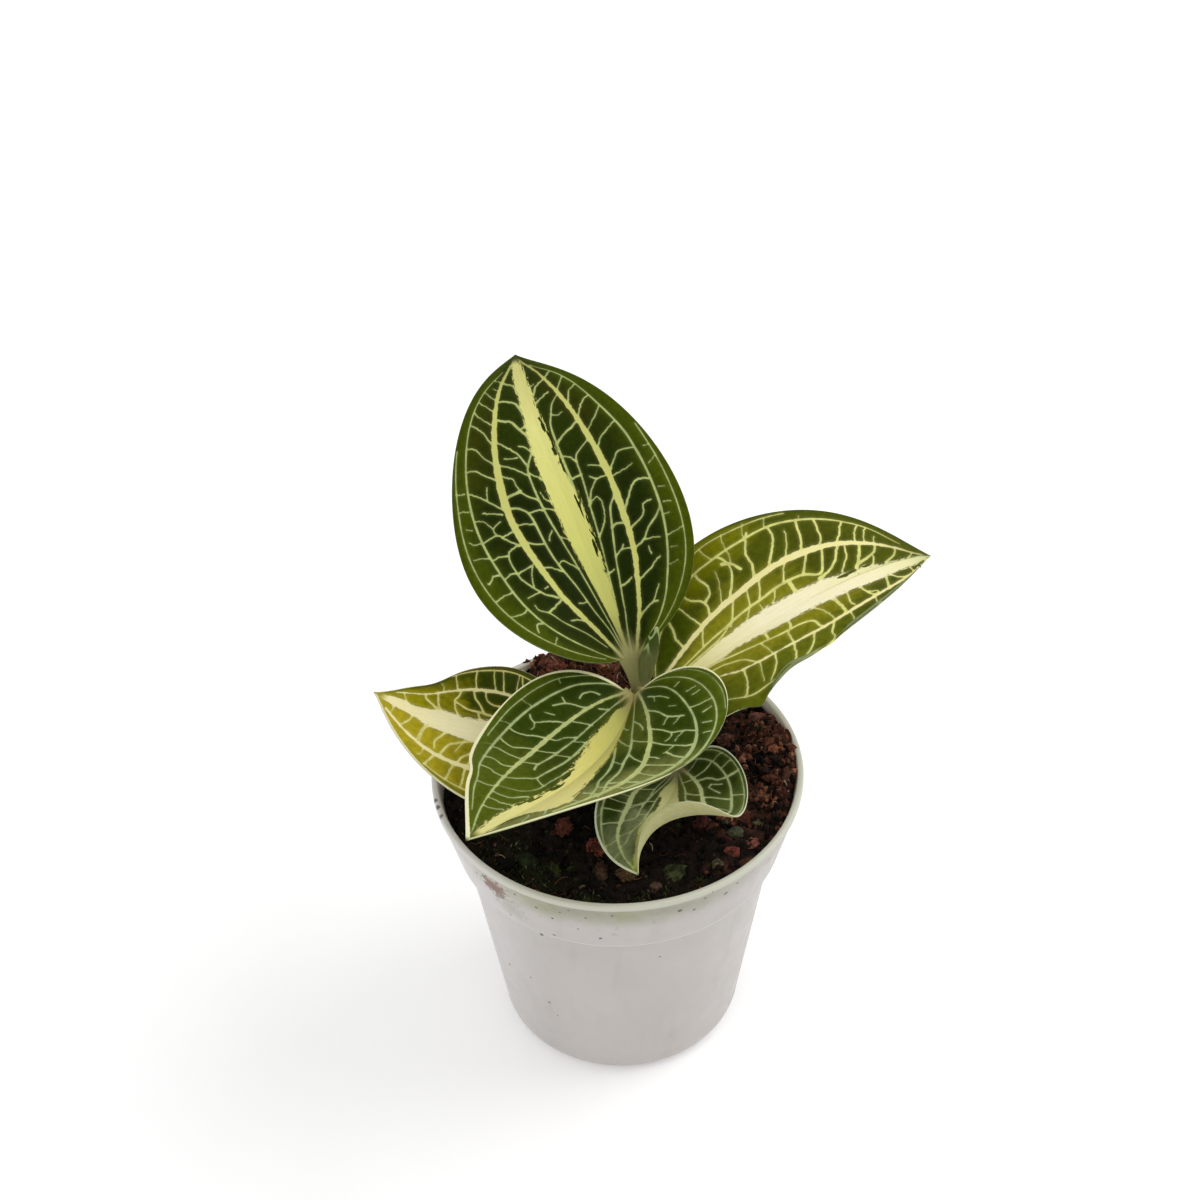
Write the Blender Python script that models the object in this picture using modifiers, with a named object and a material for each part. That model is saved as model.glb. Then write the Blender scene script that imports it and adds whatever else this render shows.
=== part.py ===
# Potted jewel orchid: a thin plastic nursery pot, its potting mix, one leafy stem with five
# leaves and a furled new leaf, and the larger bits of bark, grit and moss that lie on the mix.
# Metres, +Z up, origin at the centre of the pot's base, the front of the plant towards -Y.
import math
import random

import bpy
import numpy as np
from mathutils import Vector, noise
from mathutils.bvhtree import BVHTree

MM = 0.001

# --- pot ---------------------------------------------------------------------------------
RIM_RADIUS = 35.0
POT_HEIGHT = 62.0
LIP_HEIGHT = 1.2
LIP_WIDTH = 1.25
COLLAR_TOP_RADIUS = 34.7
COLLAR_FOOT_RADIUS = 31.5
STEP_HEIGHT = 47.2
BODY_TOP_RADIUS = 29.9
BODY_FOOT_RADIUS = 23.6
FOOT_ROUNDING = 4.2
WALL = 1.0
FLOOR = 1.2
POT_STEPS = 64
DRAIN_HOLES = 6
DRAIN_RADIUS = 2.2
DRAIN_CIRCLE = 13.6

# --- potting mix -------------------------------------------------------------------------
CLEARANCE = 0.3
MIX_RINGS = 17
MIX_STEPS = 56
MIX_LEVEL = 58.6
SOCKET_FLOOR = 52.0

# --- stem --------------------------------------------------------------------------------
STEM_PATH = [(6.4, 2.1, 52.4), (6.4, 2.1, 59.0), (5.9, 1.9, 64.0), (5.1, 1.6, 70.0),
             (4.5, 1.4, 75.0), (4.2, 1.3, 79.6)]
STEM_RADII = [1.6, 1.6, 1.55, 1.45, 1.35, 1.2]
STEM_SIDES = 16

# --- leaves ------------------------------------------------------------------------------
LEAF_THICKNESS = 0.6
PETIOLE_HALF_WIDTH = 1.3
LEAF_COLUMNS = 12
LEAF_ROWS = 28
PETIOLE_ROWS = 6


def leaf(length, half_width, base, rise, heading, bank, corner, tip, reach,
         fold, cup, petiole, wave=None):
    """One leaf's shape. Angles are in degrees and lengths in millimetres.

    rise, heading and bank hold the midrib's values at the blade's base, middle and tip.
    corner and tip are the angles at which the left and right margins leave the two ends,
    reach the four Bezier handles as fractions of the length: left base, left tip, right
    base, right tip. fold and cup, left then right, bend the halves about the midrib.
    petiole: the height of its foot, the side of the stem that the foot lies on, and the
    radius of its channel there. Each wave of a margin is a side, a place, a
    spread, a height and how far it widens the blade.
    """
    return dict(length=length, half_width=half_width, base=base, rise=rise,
                heading=heading, bank=bank, corner=corner, tip=tip, reach=reach,
                fold=fold, cup=cup, petiole=petiole, wave=wave or [])


LEAVES = {
    "leaf_top": leaf(
        66.5, 24.0, (2.6, 3.0, 88.0), (50, 32.5, -11), (124, 113.5, 95.5), (8, -5, -2),
        (82, 82), (50, 47), (0.465, 0.505, 0.405, 0.50),
        ((16.5, 8.5, 1), (11, 12, 5)), ((11, -43, -1), (8, 2, -1)),
        (80.1, 108, 3.4)),
    "leaf_right": leaf(
        60.0, 20.0, (8.4, 1.1, 80.2), (20.5, 15.5, -26), (25, 24, 36), (5.5, 13, 12),
        (85, 100.5), (56, 49.5), (0.497, 0.44, 0.466, 0.06),
        ((6.5, 14, -1), (5.5, 20.5, -6.5)), ((0, 0, 0), (-12, -16.5, -19)),
        (76.2, 12, 1.7),
        [(-1, 0.23, 0.04, -1.3, 1.4), (-1, 0.36, 0.053, 1.3, -0.65),
         (-1, 0.51, 0.045, -0.9, 0.3)]),
    "leaf_left": leaf(
        45.0, 18.0, (-1.2, -0.4, 69.6), (12.5, 17.5, 11.5), (192, 181, 152.5),
        (15.5, -10, 4), (100, 99.5), (52.5, 50.5), (0.475, 0.555, 0.46, 0.55),
        ((5.5, -16, 6.5), (-6, 4, 2.5)), ((0, 0, 0), (0, 0, 0)),
        (65.5, 190, 1.9)),
    "leaf_front": leaf(
        55.0, 20.0, (3.3, -2.4, 82.9), (-2.5, 16.5, -1), (257, 238, 212), (1, 5.5, 0.5),
        (100, 99), (40.5, 66.5), (0.68, 0.54, 0.48, 0.565),
        ((55, 44, 32), (35, 11.5, 14.5)), ((-38.5, -59, -19), (-6.5, -9, -8.5)),
        (77.2, 258, 1.65)),
    "leaf_low": leaf(
        37.7, 12.0, (11.0, -2.4, 63.7), (7, 20.5, 1.5), (273.5, 247, 279), (20, 3.5, 29),
        (100.5, 100.5), (66, 49.5), (0.49, 0.607, 0.43, 0.53),
        ((23, 28, 55), (9.5, 2.5, 8)), ((4, -22.5, 74), (0, 0, 0)),
        (60.6, 330, 1.95)),
}

NEW_LEAF_PATH = [(5.4, 2.9, 80.2), (6.0, 3.5, 84.0), (6.9, 3.9, 88.5), (7.7, 4.2, 92.5),
                 (8.3, 4.5, 96.0)]
NEW_LEAF_RADII = [0.65, 1.05, 1.2, 0.85, 0.18]

# --- loose pieces on the mix: name, place, half sizes, turn, lift, smooth steps ----------
CHUNKS = [
    ("bark_chip_01", (-3.8, -17.2), (2.0, 2.4, 1.6), 20, 0.5, 2),
    ("bark_chip_02", (-10.2, -11.6), (2.3, 1.7, 1.3), 75, 0.4, 1),
    ("bark_chip_03", (-3.4, -23.6), (1.2, 2.4, 1.3), 10, 0.4, 1),
    ("bark_chip_04", (0.9, -24.6), (1.9, 1.3, 1.0), -15, 0.3, 1),
    ("bark_chip_05", (30.2, 4.6), (2.3, 3.2, 1.5), -8, 0.3, 2),
    ("bark_chip_06", (26.8, -5.8), (2.6, 1.9, 1.2), 25, 0.3, 1),
    ("bark_chip_07", (27.3, 12.8), (2.2, 2.6, 1.3), 30, 0.3, 1),
    ("bark_chip_08", (-3.2, 29.4), (3.0, 1.8, 1.2), 5, 0.2, 2),
    ("bark_chip_09", (-11.6, 28.2), (2.6, 1.9, 1.2), -25, 0.2, 1),
    ("bark_chip_10", (15.4, -12.2), (1.7, 1.4, 1.0), 40, 0.3, 1),
    ("bark_chip_11", (21.0, 8.0), (2.2, 1.8, 1.1), 65, 0.3, 1),
    ("grit_01", (20.6, -19.4), (1.5, 1.2, 0.9), 15, 0.3, 1),
    ("grit_02", (24.4, -17.6), (1.3, 1.1, 0.8), 50, 0.3, 1),
    ("grit_03", (21.8, -14.6), (1.6, 1.1, 0.9), 0, 0.3, 1),
    ("grit_04", (17.8, -22.6), (1.3, 1.0, 0.7), 80, 0.3, 1),
    ("grit_05", (6.2, -27.6), (1.3, 1.1, 0.8), 30, 0.3, 1),
    ("moss_tuft_01", (9.8, -24.2), (2.3, 2.0, 1.2), 20, 0.1, 1),
    ("moss_tuft_02", (-17.2, -19.6), (2.6, 1.9, 1.0), -40, 0.1, 1),
    ("moss_tuft_03", (-23.6, -12.6), (2.0, 1.6, 0.9), 10, 0.1, 1),
]

# --- materials: colour, roughness --------------------------------------------------------
MATERIALS = {
    "pot_plastic": ((0.72, 0.70, 0.67, 1.0), 0.45),
    "potting_mix": ((0.030, 0.020, 0.014, 1.0), 0.95),
    "stem_skin": ((0.36, 0.34, 0.16, 1.0), 0.55),
    "leaf_dark": ((0.040, 0.085, 0.012, 1.0), 0.35),
    "leaf_olive": ((0.22, 0.25, 0.020, 1.0), 0.35),
    "leaf_mid": ((0.060, 0.12, 0.030, 1.0), 0.35),
    "new_leaf_skin": ((0.26, 0.30, 0.17, 1.0), 0.5),
    "bark": ((0.16, 0.065, 0.035, 1.0), 0.9),
    "grit": ((0.22, 0.15, 0.085, 1.0), 0.85),
    "moss": ((0.075, 0.10, 0.025, 1.0), 0.95),
}
LEAF_MATERIALS = {"leaf_top": "leaf_dark", "leaf_right": "leaf_olive",
                  "leaf_left": "leaf_olive", "leaf_front": "leaf_mid",
                  "leaf_low": "leaf_mid"}


def clear_scene():
    for item in list(bpy.data.objects):
        bpy.data.objects.remove(item, do_unlink=True)
    for mesh in list(bpy.data.meshes):
        bpy.data.meshes.remove(mesh)


def collection(name):
    group = bpy.data.collections.new(name)
    bpy.context.scene.collection.children.link(group)
    return group


def material(name):
    found = bpy.data.materials.get(name)
    if found:
        return found
    made = bpy.data.materials.new(name)
    made.use_nodes = True
    shader = made.node_tree.nodes["Principled BSDF"]
    colour, roughness = MATERIALS[name]
    shader.inputs["Base Color"].default_value = colour
    shader.inputs["Roughness"].default_value = roughness
    made.diffuse_color = colour
    return made


def mesh_object(name, points, faces, group, skin=None, smooth=True):
    mesh = bpy.data.meshes.new(name)
    mesh.from_pydata([tuple(c * MM for c in p) for p in points], [], faces)
    mesh.validate()
    made = bpy.data.objects.new(name, mesh)
    group.objects.link(made)
    if skin:
        mesh.materials.append(material(skin))
    for face in mesh.polygons:
        face.use_smooth = smooth
    return made


def at(values, s):
    """The parabola through a first, a middle and a last value, at s from 0 to 1."""
    first, middle, last = values
    return first * (1 - s) * (1 - 2 * s) + middle * 4 * s * (1 - s) + last * s * (2 * s - 1)


# --- pot ---------------------------------------------------------------------------------
def pot_outside():
    """The outer profile, rim to base."""
    points = [(RIM_RADIUS - 0.45, POT_HEIGHT), (RIM_RADIUS - 0.12, POT_HEIGHT - 0.12),
              (RIM_RADIUS, POT_HEIGHT - 0.45), (RIM_RADIUS, POT_HEIGHT - LIP_HEIGHT),
              (COLLAR_TOP_RADIUS, POT_HEIGHT - LIP_HEIGHT - 0.3),
              (COLLAR_FOOT_RADIUS, STEP_HEIGHT + 0.5),
              (COLLAR_FOOT_RADIUS - 0.35, STEP_HEIGHT),
              (BODY_TOP_RADIUS, STEP_HEIGHT - 0.3)]
    foot_flat = BODY_FOOT_RADIUS - FOOT_ROUNDING
    for i in range(7):
        turn = math.radians(90 * i / 6)
        points.append((foot_flat + FOOT_ROUNDING * math.cos(turn),
                       FOOT_ROUNDING - FOOT_ROUNDING * math.sin(turn)))
    return points


def pot_inside():
    """The inner profile, floor to rim."""
    foot_flat = BODY_FOOT_RADIUS - FOOT_ROUNDING
    bend = FOOT_ROUNDING - WALL
    points = []
    for i in range(5):
        turn = math.radians(90 * (1 - i / 4))
        points.append((foot_flat + bend * math.cos(turn), FLOOR + bend - bend * math.sin(turn)))
    points += [(BODY_TOP_RADIUS - WALL, STEP_HEIGHT + 0.3),
               (COLLAR_FOOT_RADIUS - WALL, STEP_HEIGHT + 1.4),
               (RIM_RADIUS - LIP_WIDTH, POT_HEIGHT - 0.45),
               (RIM_RADIUS - LIP_WIDTH + 0.12, POT_HEIGHT - 0.12),
               (RIM_RADIUS - LIP_WIDTH + 0.45, POT_HEIGHT)]
    return points


def build_pot(group, cutters):
    profile = [(0.0, FLOOR)] + pot_inside() + pot_outside() + [(0.0, 0.0)]
    mesh = bpy.data.meshes.new("pot")
    edges = [(i, i + 1) for i in range(len(profile) - 1)]
    mesh.from_pydata([(r * MM, 0.0, z * MM) for r, z in profile], edges, [])
    pot = bpy.data.objects.new("pot", mesh)
    group.objects.link(pot)
    mesh.materials.append(material("pot_plastic"))
    screw = pot.modifiers.new("turn", "SCREW")
    screw.steps = POT_STEPS
    screw.render_steps = POT_STEPS
    screw.use_merge_vertices = True
    screw.merge_threshold = 0.0001
    screw.use_smooth_shade = True
    for i in range(DRAIN_HOLES):
        turn = 2 * math.pi * (i + 0.37) / DRAIN_HOLES
        centre = (DRAIN_CIRCLE * math.cos(turn), DRAIN_CIRCLE * math.sin(turn))
        cut = cylinder(f"drain_cutter_{i + 1}", centre, DRAIN_RADIUS, -2.0, FLOOR + 2.0, cutters)
        boolean = pot.modifiers.new(f"drain_{i + 1}", "BOOLEAN")
        boolean.operation = "DIFFERENCE"
        boolean.solver = "EXACT"
        boolean.object = cut
    return pot


def cylinder(name, centre, radius, low, high, cutters, sides=24):
    """A closed upright cylinder, kept out of the render, for a Boolean to cut with."""
    points = []
    for z in (low, high):
        for i in range(sides):
            turn = 2 * math.pi * i / sides
            points.append((centre[0] + radius * math.cos(turn),
                           centre[1] + radius * math.sin(turn), z))
    faces = [tuple(reversed(range(sides))), tuple(range(sides, 2 * sides))]
    for i in range(sides):
        j = (i + 1) % sides
        faces.append((i, j, sides + j, sides + i))
    made = mesh_object(name, points, faces, cutters, smooth=False)
    made.hide_render = True
    made.display_type = "WIRE"
    return made


# --- potting mix -------------------------------------------------------------------------
def mix_height(x, y):
    """The surface of the mix: heaped at the back left and the right, hollow at the front."""
    z = MIX_LEVEL
    z += 1.5 * math.exp(-((x + 8) ** 2 + (y - 29) ** 2) / 110)
    z += 1.1 * math.exp(-((x - 30) ** 2 + (y - 4) ** 2) / 130)
    z -= 1.3 * math.exp(-((x + 12) ** 2 + (y + 16) ** 2) / 160)
    z -= 0.7 * math.exp(-((x - 10) ** 2 + (y + 17) ** 2) / 90)
    z += 0.55 * noise.noise(Vector((x * 0.16, y * 0.16, 1.7)))
    return z


def collar_inside(z):
    """The inner radius of the collar at a height."""
    share = (z - (STEP_HEIGHT + 1.4)) / (POT_HEIGHT - 0.45 - STEP_HEIGHT - 1.4)
    low = COLLAR_FOOT_RADIUS - WALL
    return low + share * (RIM_RADIUS - LIP_WIDTH - low)


def build_mix(group, cutters):
    points = [(0.0, 0.0, mix_height(0, 0))]
    edge_radius = collar_inside(MIX_LEVEL - 1.6) - CLEARANCE
    for ring in range(1, MIX_RINGS + 1):
        for i in range(MIX_STEPS):
            turn = 2 * math.pi * i / MIX_STEPS
            radius = edge_radius * ring / MIX_RINGS
            x, y = radius * math.cos(turn), radius * math.sin(turn)
            points.append((x, y, mix_height(x, y)))
    foot_flat = BODY_FOOT_RADIUS - FOOT_ROUNDING
    bend = FOOT_ROUNDING - WALL - CLEARANCE
    side = [(COLLAR_FOOT_RADIUS - WALL - 0.35, STEP_HEIGHT + 1.7),
            (BODY_TOP_RADIUS - WALL - 0.35, STEP_HEIGHT + 0.5)]
    for i in range(5):
        turn = math.radians(90 * i / 4)
        side.append((foot_flat + bend * math.cos(turn),
                     FLOOR + CLEARANCE + bend * (1 - math.sin(turn))))
    for radius, z in side:
        for i in range(MIX_STEPS):
            turn = 2 * math.pi * i / MIX_STEPS
            points.append((radius * math.cos(turn), radius * math.sin(turn), z))
    points.append((0.0, 0.0, FLOOR + CLEARANCE))
    last = len(points) - 1
    faces = []
    for i in range(MIX_STEPS):
        j = (i + 1) % MIX_STEPS
        faces.append((0, 1 + i, 1 + j))
        for ring in range(MIX_RINGS + len(side) - 1):
            low = 1 + ring * MIX_STEPS
            high = low + MIX_STEPS
            faces.append((low + i, high + i, high + j, low + j))
        bottom = last - MIX_STEPS
        faces.append((last, bottom + j, bottom + i))
    mix = mesh_object("potting_mix", points, faces, group, "potting_mix")
    x, y, _ = STEM_PATH[0]
    cut = cylinder("stem_socket_cutter", (x, y), STEM_RADII[0] + CLEARANCE,
                   SOCKET_FLOOR, MIX_LEVEL + 8, cutters, 20)
    boolean = mix.modifiers.new("stem_socket", "BOOLEAN")
    boolean.operation = "DIFFERENCE"
    boolean.solver = "EXACT"
    boolean.object = cut
    top = 1 + MIX_RINGS * MIX_STEPS
    return BVHTree.FromPolygons(points[:top],
                                [f for f in faces if max(f) < top])


# --- round rods: the stem and the furled leaf --------------------------------------------
def rod(name, path, radii, sides, group, skin, flat=1.0, steps=4):
    """A closed rod through the path's points, each with its radius."""
    path = np.array(path, float)
    count = (len(path) - 1) * steps + 1
    knots = np.linspace(0, len(path) - 1, count)
    smooth = []
    for k in knots:
        i = min(int(k), len(path) - 2)
        f = k - i
        before = path[max(i - 1, 0)]
        after = path[min(i + 2, len(path) - 1)]
        a, b = path[i], path[i + 1]
        smooth.append(0.5 * (2 * a + (b - before) * f
                             + (2 * before - 5 * a + 4 * b - after) * f * f
                             + (3 * a - before - 3 * b + after) * f ** 3))
    smooth = np.array(smooth)
    widths = np.interp(knots, range(len(radii)), radii)
    points = []
    for k in range(count):
        tangent = smooth[min(k + 1, count - 1)] - smooth[max(k - 1, 0)]
        tangent /= np.linalg.norm(tangent)
        side = np.cross((0.0, 1.0, 0.0), tangent)
        side /= np.linalg.norm(side)
        other = np.cross(tangent, side)
        for i in range(sides):
            turn = 2 * math.pi * i / sides
            points.append(smooth[k] + widths[k] * (math.cos(turn) * side
                                                   + flat * math.sin(turn) * other))
    faces = [tuple(reversed(range(sides))),
             tuple(range((count - 1) * sides, count * sides))]
    for k in range(count - 1):
        for i in range(sides):
            j = (i + 1) % sides
            faces.append((k * sides + i, k * sides + j,
                          (k + 1) * sides + j, (k + 1) * sides + i))
    return mesh_object(name, points, faces, group, skin)


# --- leaves ------------------------------------------------------------------------------
def directions(rise, heading, bank):
    """Along the midrib, to the leaf's left, and out of its upper face."""
    rise, heading, bank = np.radians(rise), np.radians(heading), np.radians(bank)
    along = np.stack([np.cos(rise) * np.cos(heading), np.cos(rise) * np.sin(heading),
                      np.sin(rise)], -1)
    level = np.stack([-np.sin(heading), np.cos(heading), 0 * heading], -1)
    up = np.cross(along, level)
    left = np.cos(bank)[:, None] * level + np.sin(bank)[:, None] * up
    out = -np.sin(bank)[:, None] * level + np.cos(bank)[:, None] * up
    return along, left, out


def outline(shape, v, t):
    """Flat position of the line v (-1 right margin, 0 midrib, 1 left margin) at t."""
    side = 0 if v >= 0 else 1
    corner = math.radians(shape["corner"][side])
    tip = math.radians(shape["tip"][side])
    near = shape["reach"][2 * side] * shape["length"]
    far = shape["reach"][2 * side + 1] * shape["length"]
    start = v * PETIOLE_HALF_WIDTH
    xs = (0.0, near * math.cos(v * corner), shape["length"] - far * math.cos(v * tip),
          shape["length"])
    ys = (start, start + near * math.sin(v * corner), far * math.sin(v * tip), 0.0)
    weights = ((1 - t) ** 3, 3 * t * (1 - t) ** 2, 3 * t * t * (1 - t), t ** 3)
    return (sum(w * x for w, x in zip(weights, xs)), sum(w * y for w, y in zip(weights, ys)))


def stem_at(height):
    """The stem's axis and radius at a height."""
    levels = [p[2] for p in STEM_PATH]
    axis = [float(np.interp(height, levels, [p[i] for p in STEM_PATH])) for i in range(2)]
    return axis, float(np.interp(height, levels, STEM_RADII))


def arc(angle, bend, width):
    """End of an arc that starts at an angle and turns by bend over each millimetre."""
    if abs(bend) < 1e-6:
        return width * math.cos(angle), width * math.sin(angle)
    return ((math.sin(angle + bend * width) - math.sin(angle)) / bend,
            (math.cos(angle) - math.cos(angle + bend * width)) / bend)


def leaf_surface(shape, columns, rows, petiole_rows):
    """Rows of points over the petiole and the blade's upper face, then the tip."""
    count = 61
    share = np.linspace(0, 1, count)
    along, left, out = directions(at(shape["rise"], share), at(shape["heading"], share),
                                  at(shape["bank"], share))
    steps = (along[1:] + along[:-1]) / 2 * shape["length"] / (count - 1)
    rib = np.vstack([[0, 0, 0], np.cumsum(steps, 0)]) + np.array(shape["base"])

    def blade_point(v, t):
        x, y = outline(shape, v, t)
        s = min(max(x / shape["length"], 0.0), 1.0)
        side = 0 if v >= 0 else 1
        pick = [[np.interp(s, share, line[:, i]) for i in range(3)]
                for line in (rib, along, left, out)]
        middle, forward, sideways, upward = (np.array(p) for p in pick)
        fold = math.radians(at(shape["fold"][side], s))
        cup = math.radians(at(shape["cup"][side], s)) / shape["half_width"]
        across, lift = arc(fold, cup, abs(y))
        for edge, place, spread, height, widen in shape["wave"]:
            if edge * v > 0:
                swell = v * v * math.exp(-((s - place) / spread) ** 2)
                lift += height * swell
                across += widen * swell
        return (middle + forward * min(x, 0.0)
                + sideways * math.copysign(across, v) + upward * lift)

    height, side_of_stem, channel = shape["petiole"]
    axis, radius = stem_at(height)
    around = math.radians(side_of_stem)
    reach = radius + CLEARANCE + 0.05 if height < STEM_PATH[-1][2] else 0.0
    foot = np.array([axis[0] + reach * math.cos(around),
                     axis[1] + reach * math.sin(around), height])
    base = np.array(shape["base"])
    span = np.linalg.norm(base - foot)
    leave = np.array([0.0, 0.0, span])
    arrive = along[0] * span * 0.6
    headings = (side_of_stem, shape["heading"][0])
    lines = [2 * c / columns - 1 for c in range(columns + 1)]
    points = []
    for k in range(petiole_rows):
        u = k / petiole_rows
        place = (foot * (2 * u ** 3 - 3 * u * u + 1) + leave * (u ** 3 - 2 * u * u + u)
                 + base * (3 * u * u - 2 * u ** 3) + arrive * (u ** 3 - u * u))
        ahead = (foot * (6 * u * u - 6 * u) + leave * (3 * u * u - 4 * u + 1)
                 + base * (6 * u - 6 * u * u) + arrive * (3 * u * u - 2 * u))
        ahead = ahead / np.linalg.norm(ahead)
        heading = math.radians(headings[0] + (headings[1] - headings[0]) * u)
        level = np.array([-math.sin(heading), math.cos(heading), 0.0])
        level = level - ahead * level.dot(ahead)
        level = level / np.linalg.norm(level)
        upper = np.cross(ahead, level)
        bank = math.radians(shape["bank"][0]) * u
        sideways = math.cos(bank) * level + math.sin(bank) * upper
        upper = math.cos(bank) * upper - math.sin(bank) * level
        for v in lines:
            side = 0 if v >= 0 else 1
            fold = math.radians(shape["fold"][side][0]) * u
            across, lift = arc(fold, (1 - u) / channel, PETIOLE_HALF_WIDTH * abs(v))
            points.append(place + sideways * math.copysign(across, v) + upper * lift)
    for r in range(rows):
        t = r / rows
        for v in lines:
            points.append(blade_point(v, t))
    points.append(blade_point(0.0, 1.0))
    faces = []
    wide = columns + 1
    total = petiole_rows + rows
    for r in range(total - 1):
        for c in range(columns):
            a = r * wide + c
            faces.append((a, a + wide, a + wide + 1, a + 1))
    last = total * wide
    for c in range(columns):
        a = (total - 1) * wide + c
        faces.append((a, last, a + 1))
    return points, faces


def build_leaf(name, shape, group):
    points, faces = leaf_surface(shape, LEAF_COLUMNS, LEAF_ROWS, PETIOLE_ROWS)
    made = mesh_object(name, points, faces, group, LEAF_MATERIALS[name])
    solid = made.modifiers.new("thickness", "SOLIDIFY")
    solid.thickness = LEAF_THICKNESS * MM
    solid.offset = -1.0
    return made


# --- loose pieces ------------------------------------------------------------------------
def build_chunk(name, place, half, turn, lift, steps, surface, group):
    """A lump whose underside follows the mix, a small gap above it."""
    seed = random.Random(name)
    shift = Vector([seed.uniform(-40, 40) for _ in range(3)])
    skin = "bark" if name.startswith("bark") else name.split("_")[0]
    middle = mix_height(*place) + lift + CLEARANCE
    points, faces = ball(steps)
    placed = []
    for p in points:
        rough = 0.30 * noise.noise(p * 1.3 + shift) + 0.16 * noise.noise(p * 3.1 + shift)
        q = p * (1 + rough)
        x, y, z = q.x * half[0], q.y * half[1], q.z * half[2]
        c, s = math.cos(math.radians(turn)), math.sin(math.radians(turn))
        x, y = place[0] + c * x - s * y, place[1] + s * x + c * y
        hit = surface.ray_cast(Vector((x, y, 90.0)), Vector((0, 0, -1)))[0]
        ground = (hit.z if hit else mix_height(x, y)) + CLEARANCE + 0.05
        placed.append((x, y, max(middle + z, ground)))
    made = mesh_object(name, placed, faces, group, skin)
    return made


def ball(steps):
    """A unit ball of triangles: an octahedron split so many times."""
    corners = [(1, 0, 0), (0, 1, 0), (-1, 0, 0), (0, -1, 0), (0, 0, 1), (0, 0, -1)]
    points = [Vector(c) for c in corners]
    faces = [(0, 1, 4), (1, 2, 4), (2, 3, 4), (3, 0, 4),
             (1, 0, 5), (2, 1, 5), (3, 2, 5), (0, 3, 5)]
    for _ in range(steps + 1):
        halves = {}
        split = []
        for face in faces:
            mids = []
            for a, b in zip(face, face[1:] + face[:1]):
                key = (min(a, b), max(a, b))
                if key not in halves:
                    halves[key] = len(points)
                    points.append(((points[a] + points[b]) / 2).normalized())
                mids.append(halves[key])
            a, b, c = face
            split += [(a, mids[0], mids[2]), (mids[0], b, mids[1]),
                      (mids[2], mids[1], c), (mids[0], mids[1], mids[2])]
        faces = split
    return points, faces


def main():
    clear_scene()
    plant = collection("potted_jewel_orchid")
    cutters = collection("cutters")
    build_pot(plant, cutters)
    surface = build_mix(plant, cutters)
    rod("stem", STEM_PATH, STEM_RADII, STEM_SIDES, plant, "stem_skin")
    for name, shape in LEAVES.items():
        build_leaf(name, shape, plant)
    rod("new_leaf", NEW_LEAF_PATH, NEW_LEAF_RADII, 12, plant, "new_leaf_skin", 0.75)
    for chunk in CHUNKS:
        build_chunk(*chunk, surface, plant)


main()
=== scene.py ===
import math

import bpy
import numpy as np
from mathutils import Matrix, Vector


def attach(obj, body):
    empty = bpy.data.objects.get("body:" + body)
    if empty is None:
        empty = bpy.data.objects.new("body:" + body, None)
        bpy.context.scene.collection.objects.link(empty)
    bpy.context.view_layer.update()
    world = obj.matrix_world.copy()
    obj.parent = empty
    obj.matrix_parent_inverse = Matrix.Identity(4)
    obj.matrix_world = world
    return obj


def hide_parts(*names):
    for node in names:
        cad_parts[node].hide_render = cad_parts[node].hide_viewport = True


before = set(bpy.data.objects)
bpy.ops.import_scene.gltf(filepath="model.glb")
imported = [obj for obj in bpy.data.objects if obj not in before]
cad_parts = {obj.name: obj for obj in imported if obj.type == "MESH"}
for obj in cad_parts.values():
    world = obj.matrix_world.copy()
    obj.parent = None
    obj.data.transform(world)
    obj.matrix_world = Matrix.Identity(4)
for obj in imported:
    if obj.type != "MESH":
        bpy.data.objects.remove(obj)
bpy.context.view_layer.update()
MM = 0.001


def srgb(r, g, b):
    """A colour as seen on screen, 0 to 255, as the linear values that a shader takes."""
    out = []
    for value in (r, g, b):
        value /= 255
        out.append(value / 12.92 if value <= 0.04045 else ((value + 0.055) / 1.055) ** 2.4)
    return (*out, 1.0)


def toned(colour, gain, more=0):
    """A colour made darker or lighter."""
    return tuple(min(255, value * gain + more) for value in colour)


# --- noise -------------------------------------------------------------------------------
def hashed(ix, iy, iz, seed):
    """A repeatable value from -1 to 1 for each whole-number place."""
    ix = np.atleast_1d(ix)
    h = (ix * 374761393 + iy * 668265263 + iz * 1274126177 + seed * 974634777) & 0xFFFFFFFF
    h = ((h ^ (h >> 13)) * 1103515245) & 0xFFFFFFFF
    h = ((h ^ (h >> 16)) * 2246822519) & 0xFFFFFFFF
    return (((h ^ (h >> 15)) & 0xFFFFFF) / 8388607.5 - 1.0).reshape(np.shape(iy))


def noise(points, seed=0):
    """Smooth value noise from -1 to 1 at each point, one cell to each unit."""
    points = np.asarray(points, float)
    whole = np.floor(points).astype(np.int64)
    part = points - whole
    part = part * part * part * (part * (part * 6 - 15) + 10)
    total = 0.0
    for corner in range(8):
        step = np.array([corner & 1, (corner >> 1) & 1, (corner >> 2) & 1])
        weight = np.where(step, part, 1 - part).prod(-1)
        place = whole + step
        total = total + weight * hashed(place[..., 0], place[..., 1], place[..., 2], seed)
    return total


def rough(points, seed, octaves):
    """Noise with finer and finer detail, each octave half as strong as the last."""
    return sum(0.5 ** octave * noise(np.asarray(points) * 2 ** octave + 7.3 * octave, seed + octave)
               for octave in range(octaves))


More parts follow.
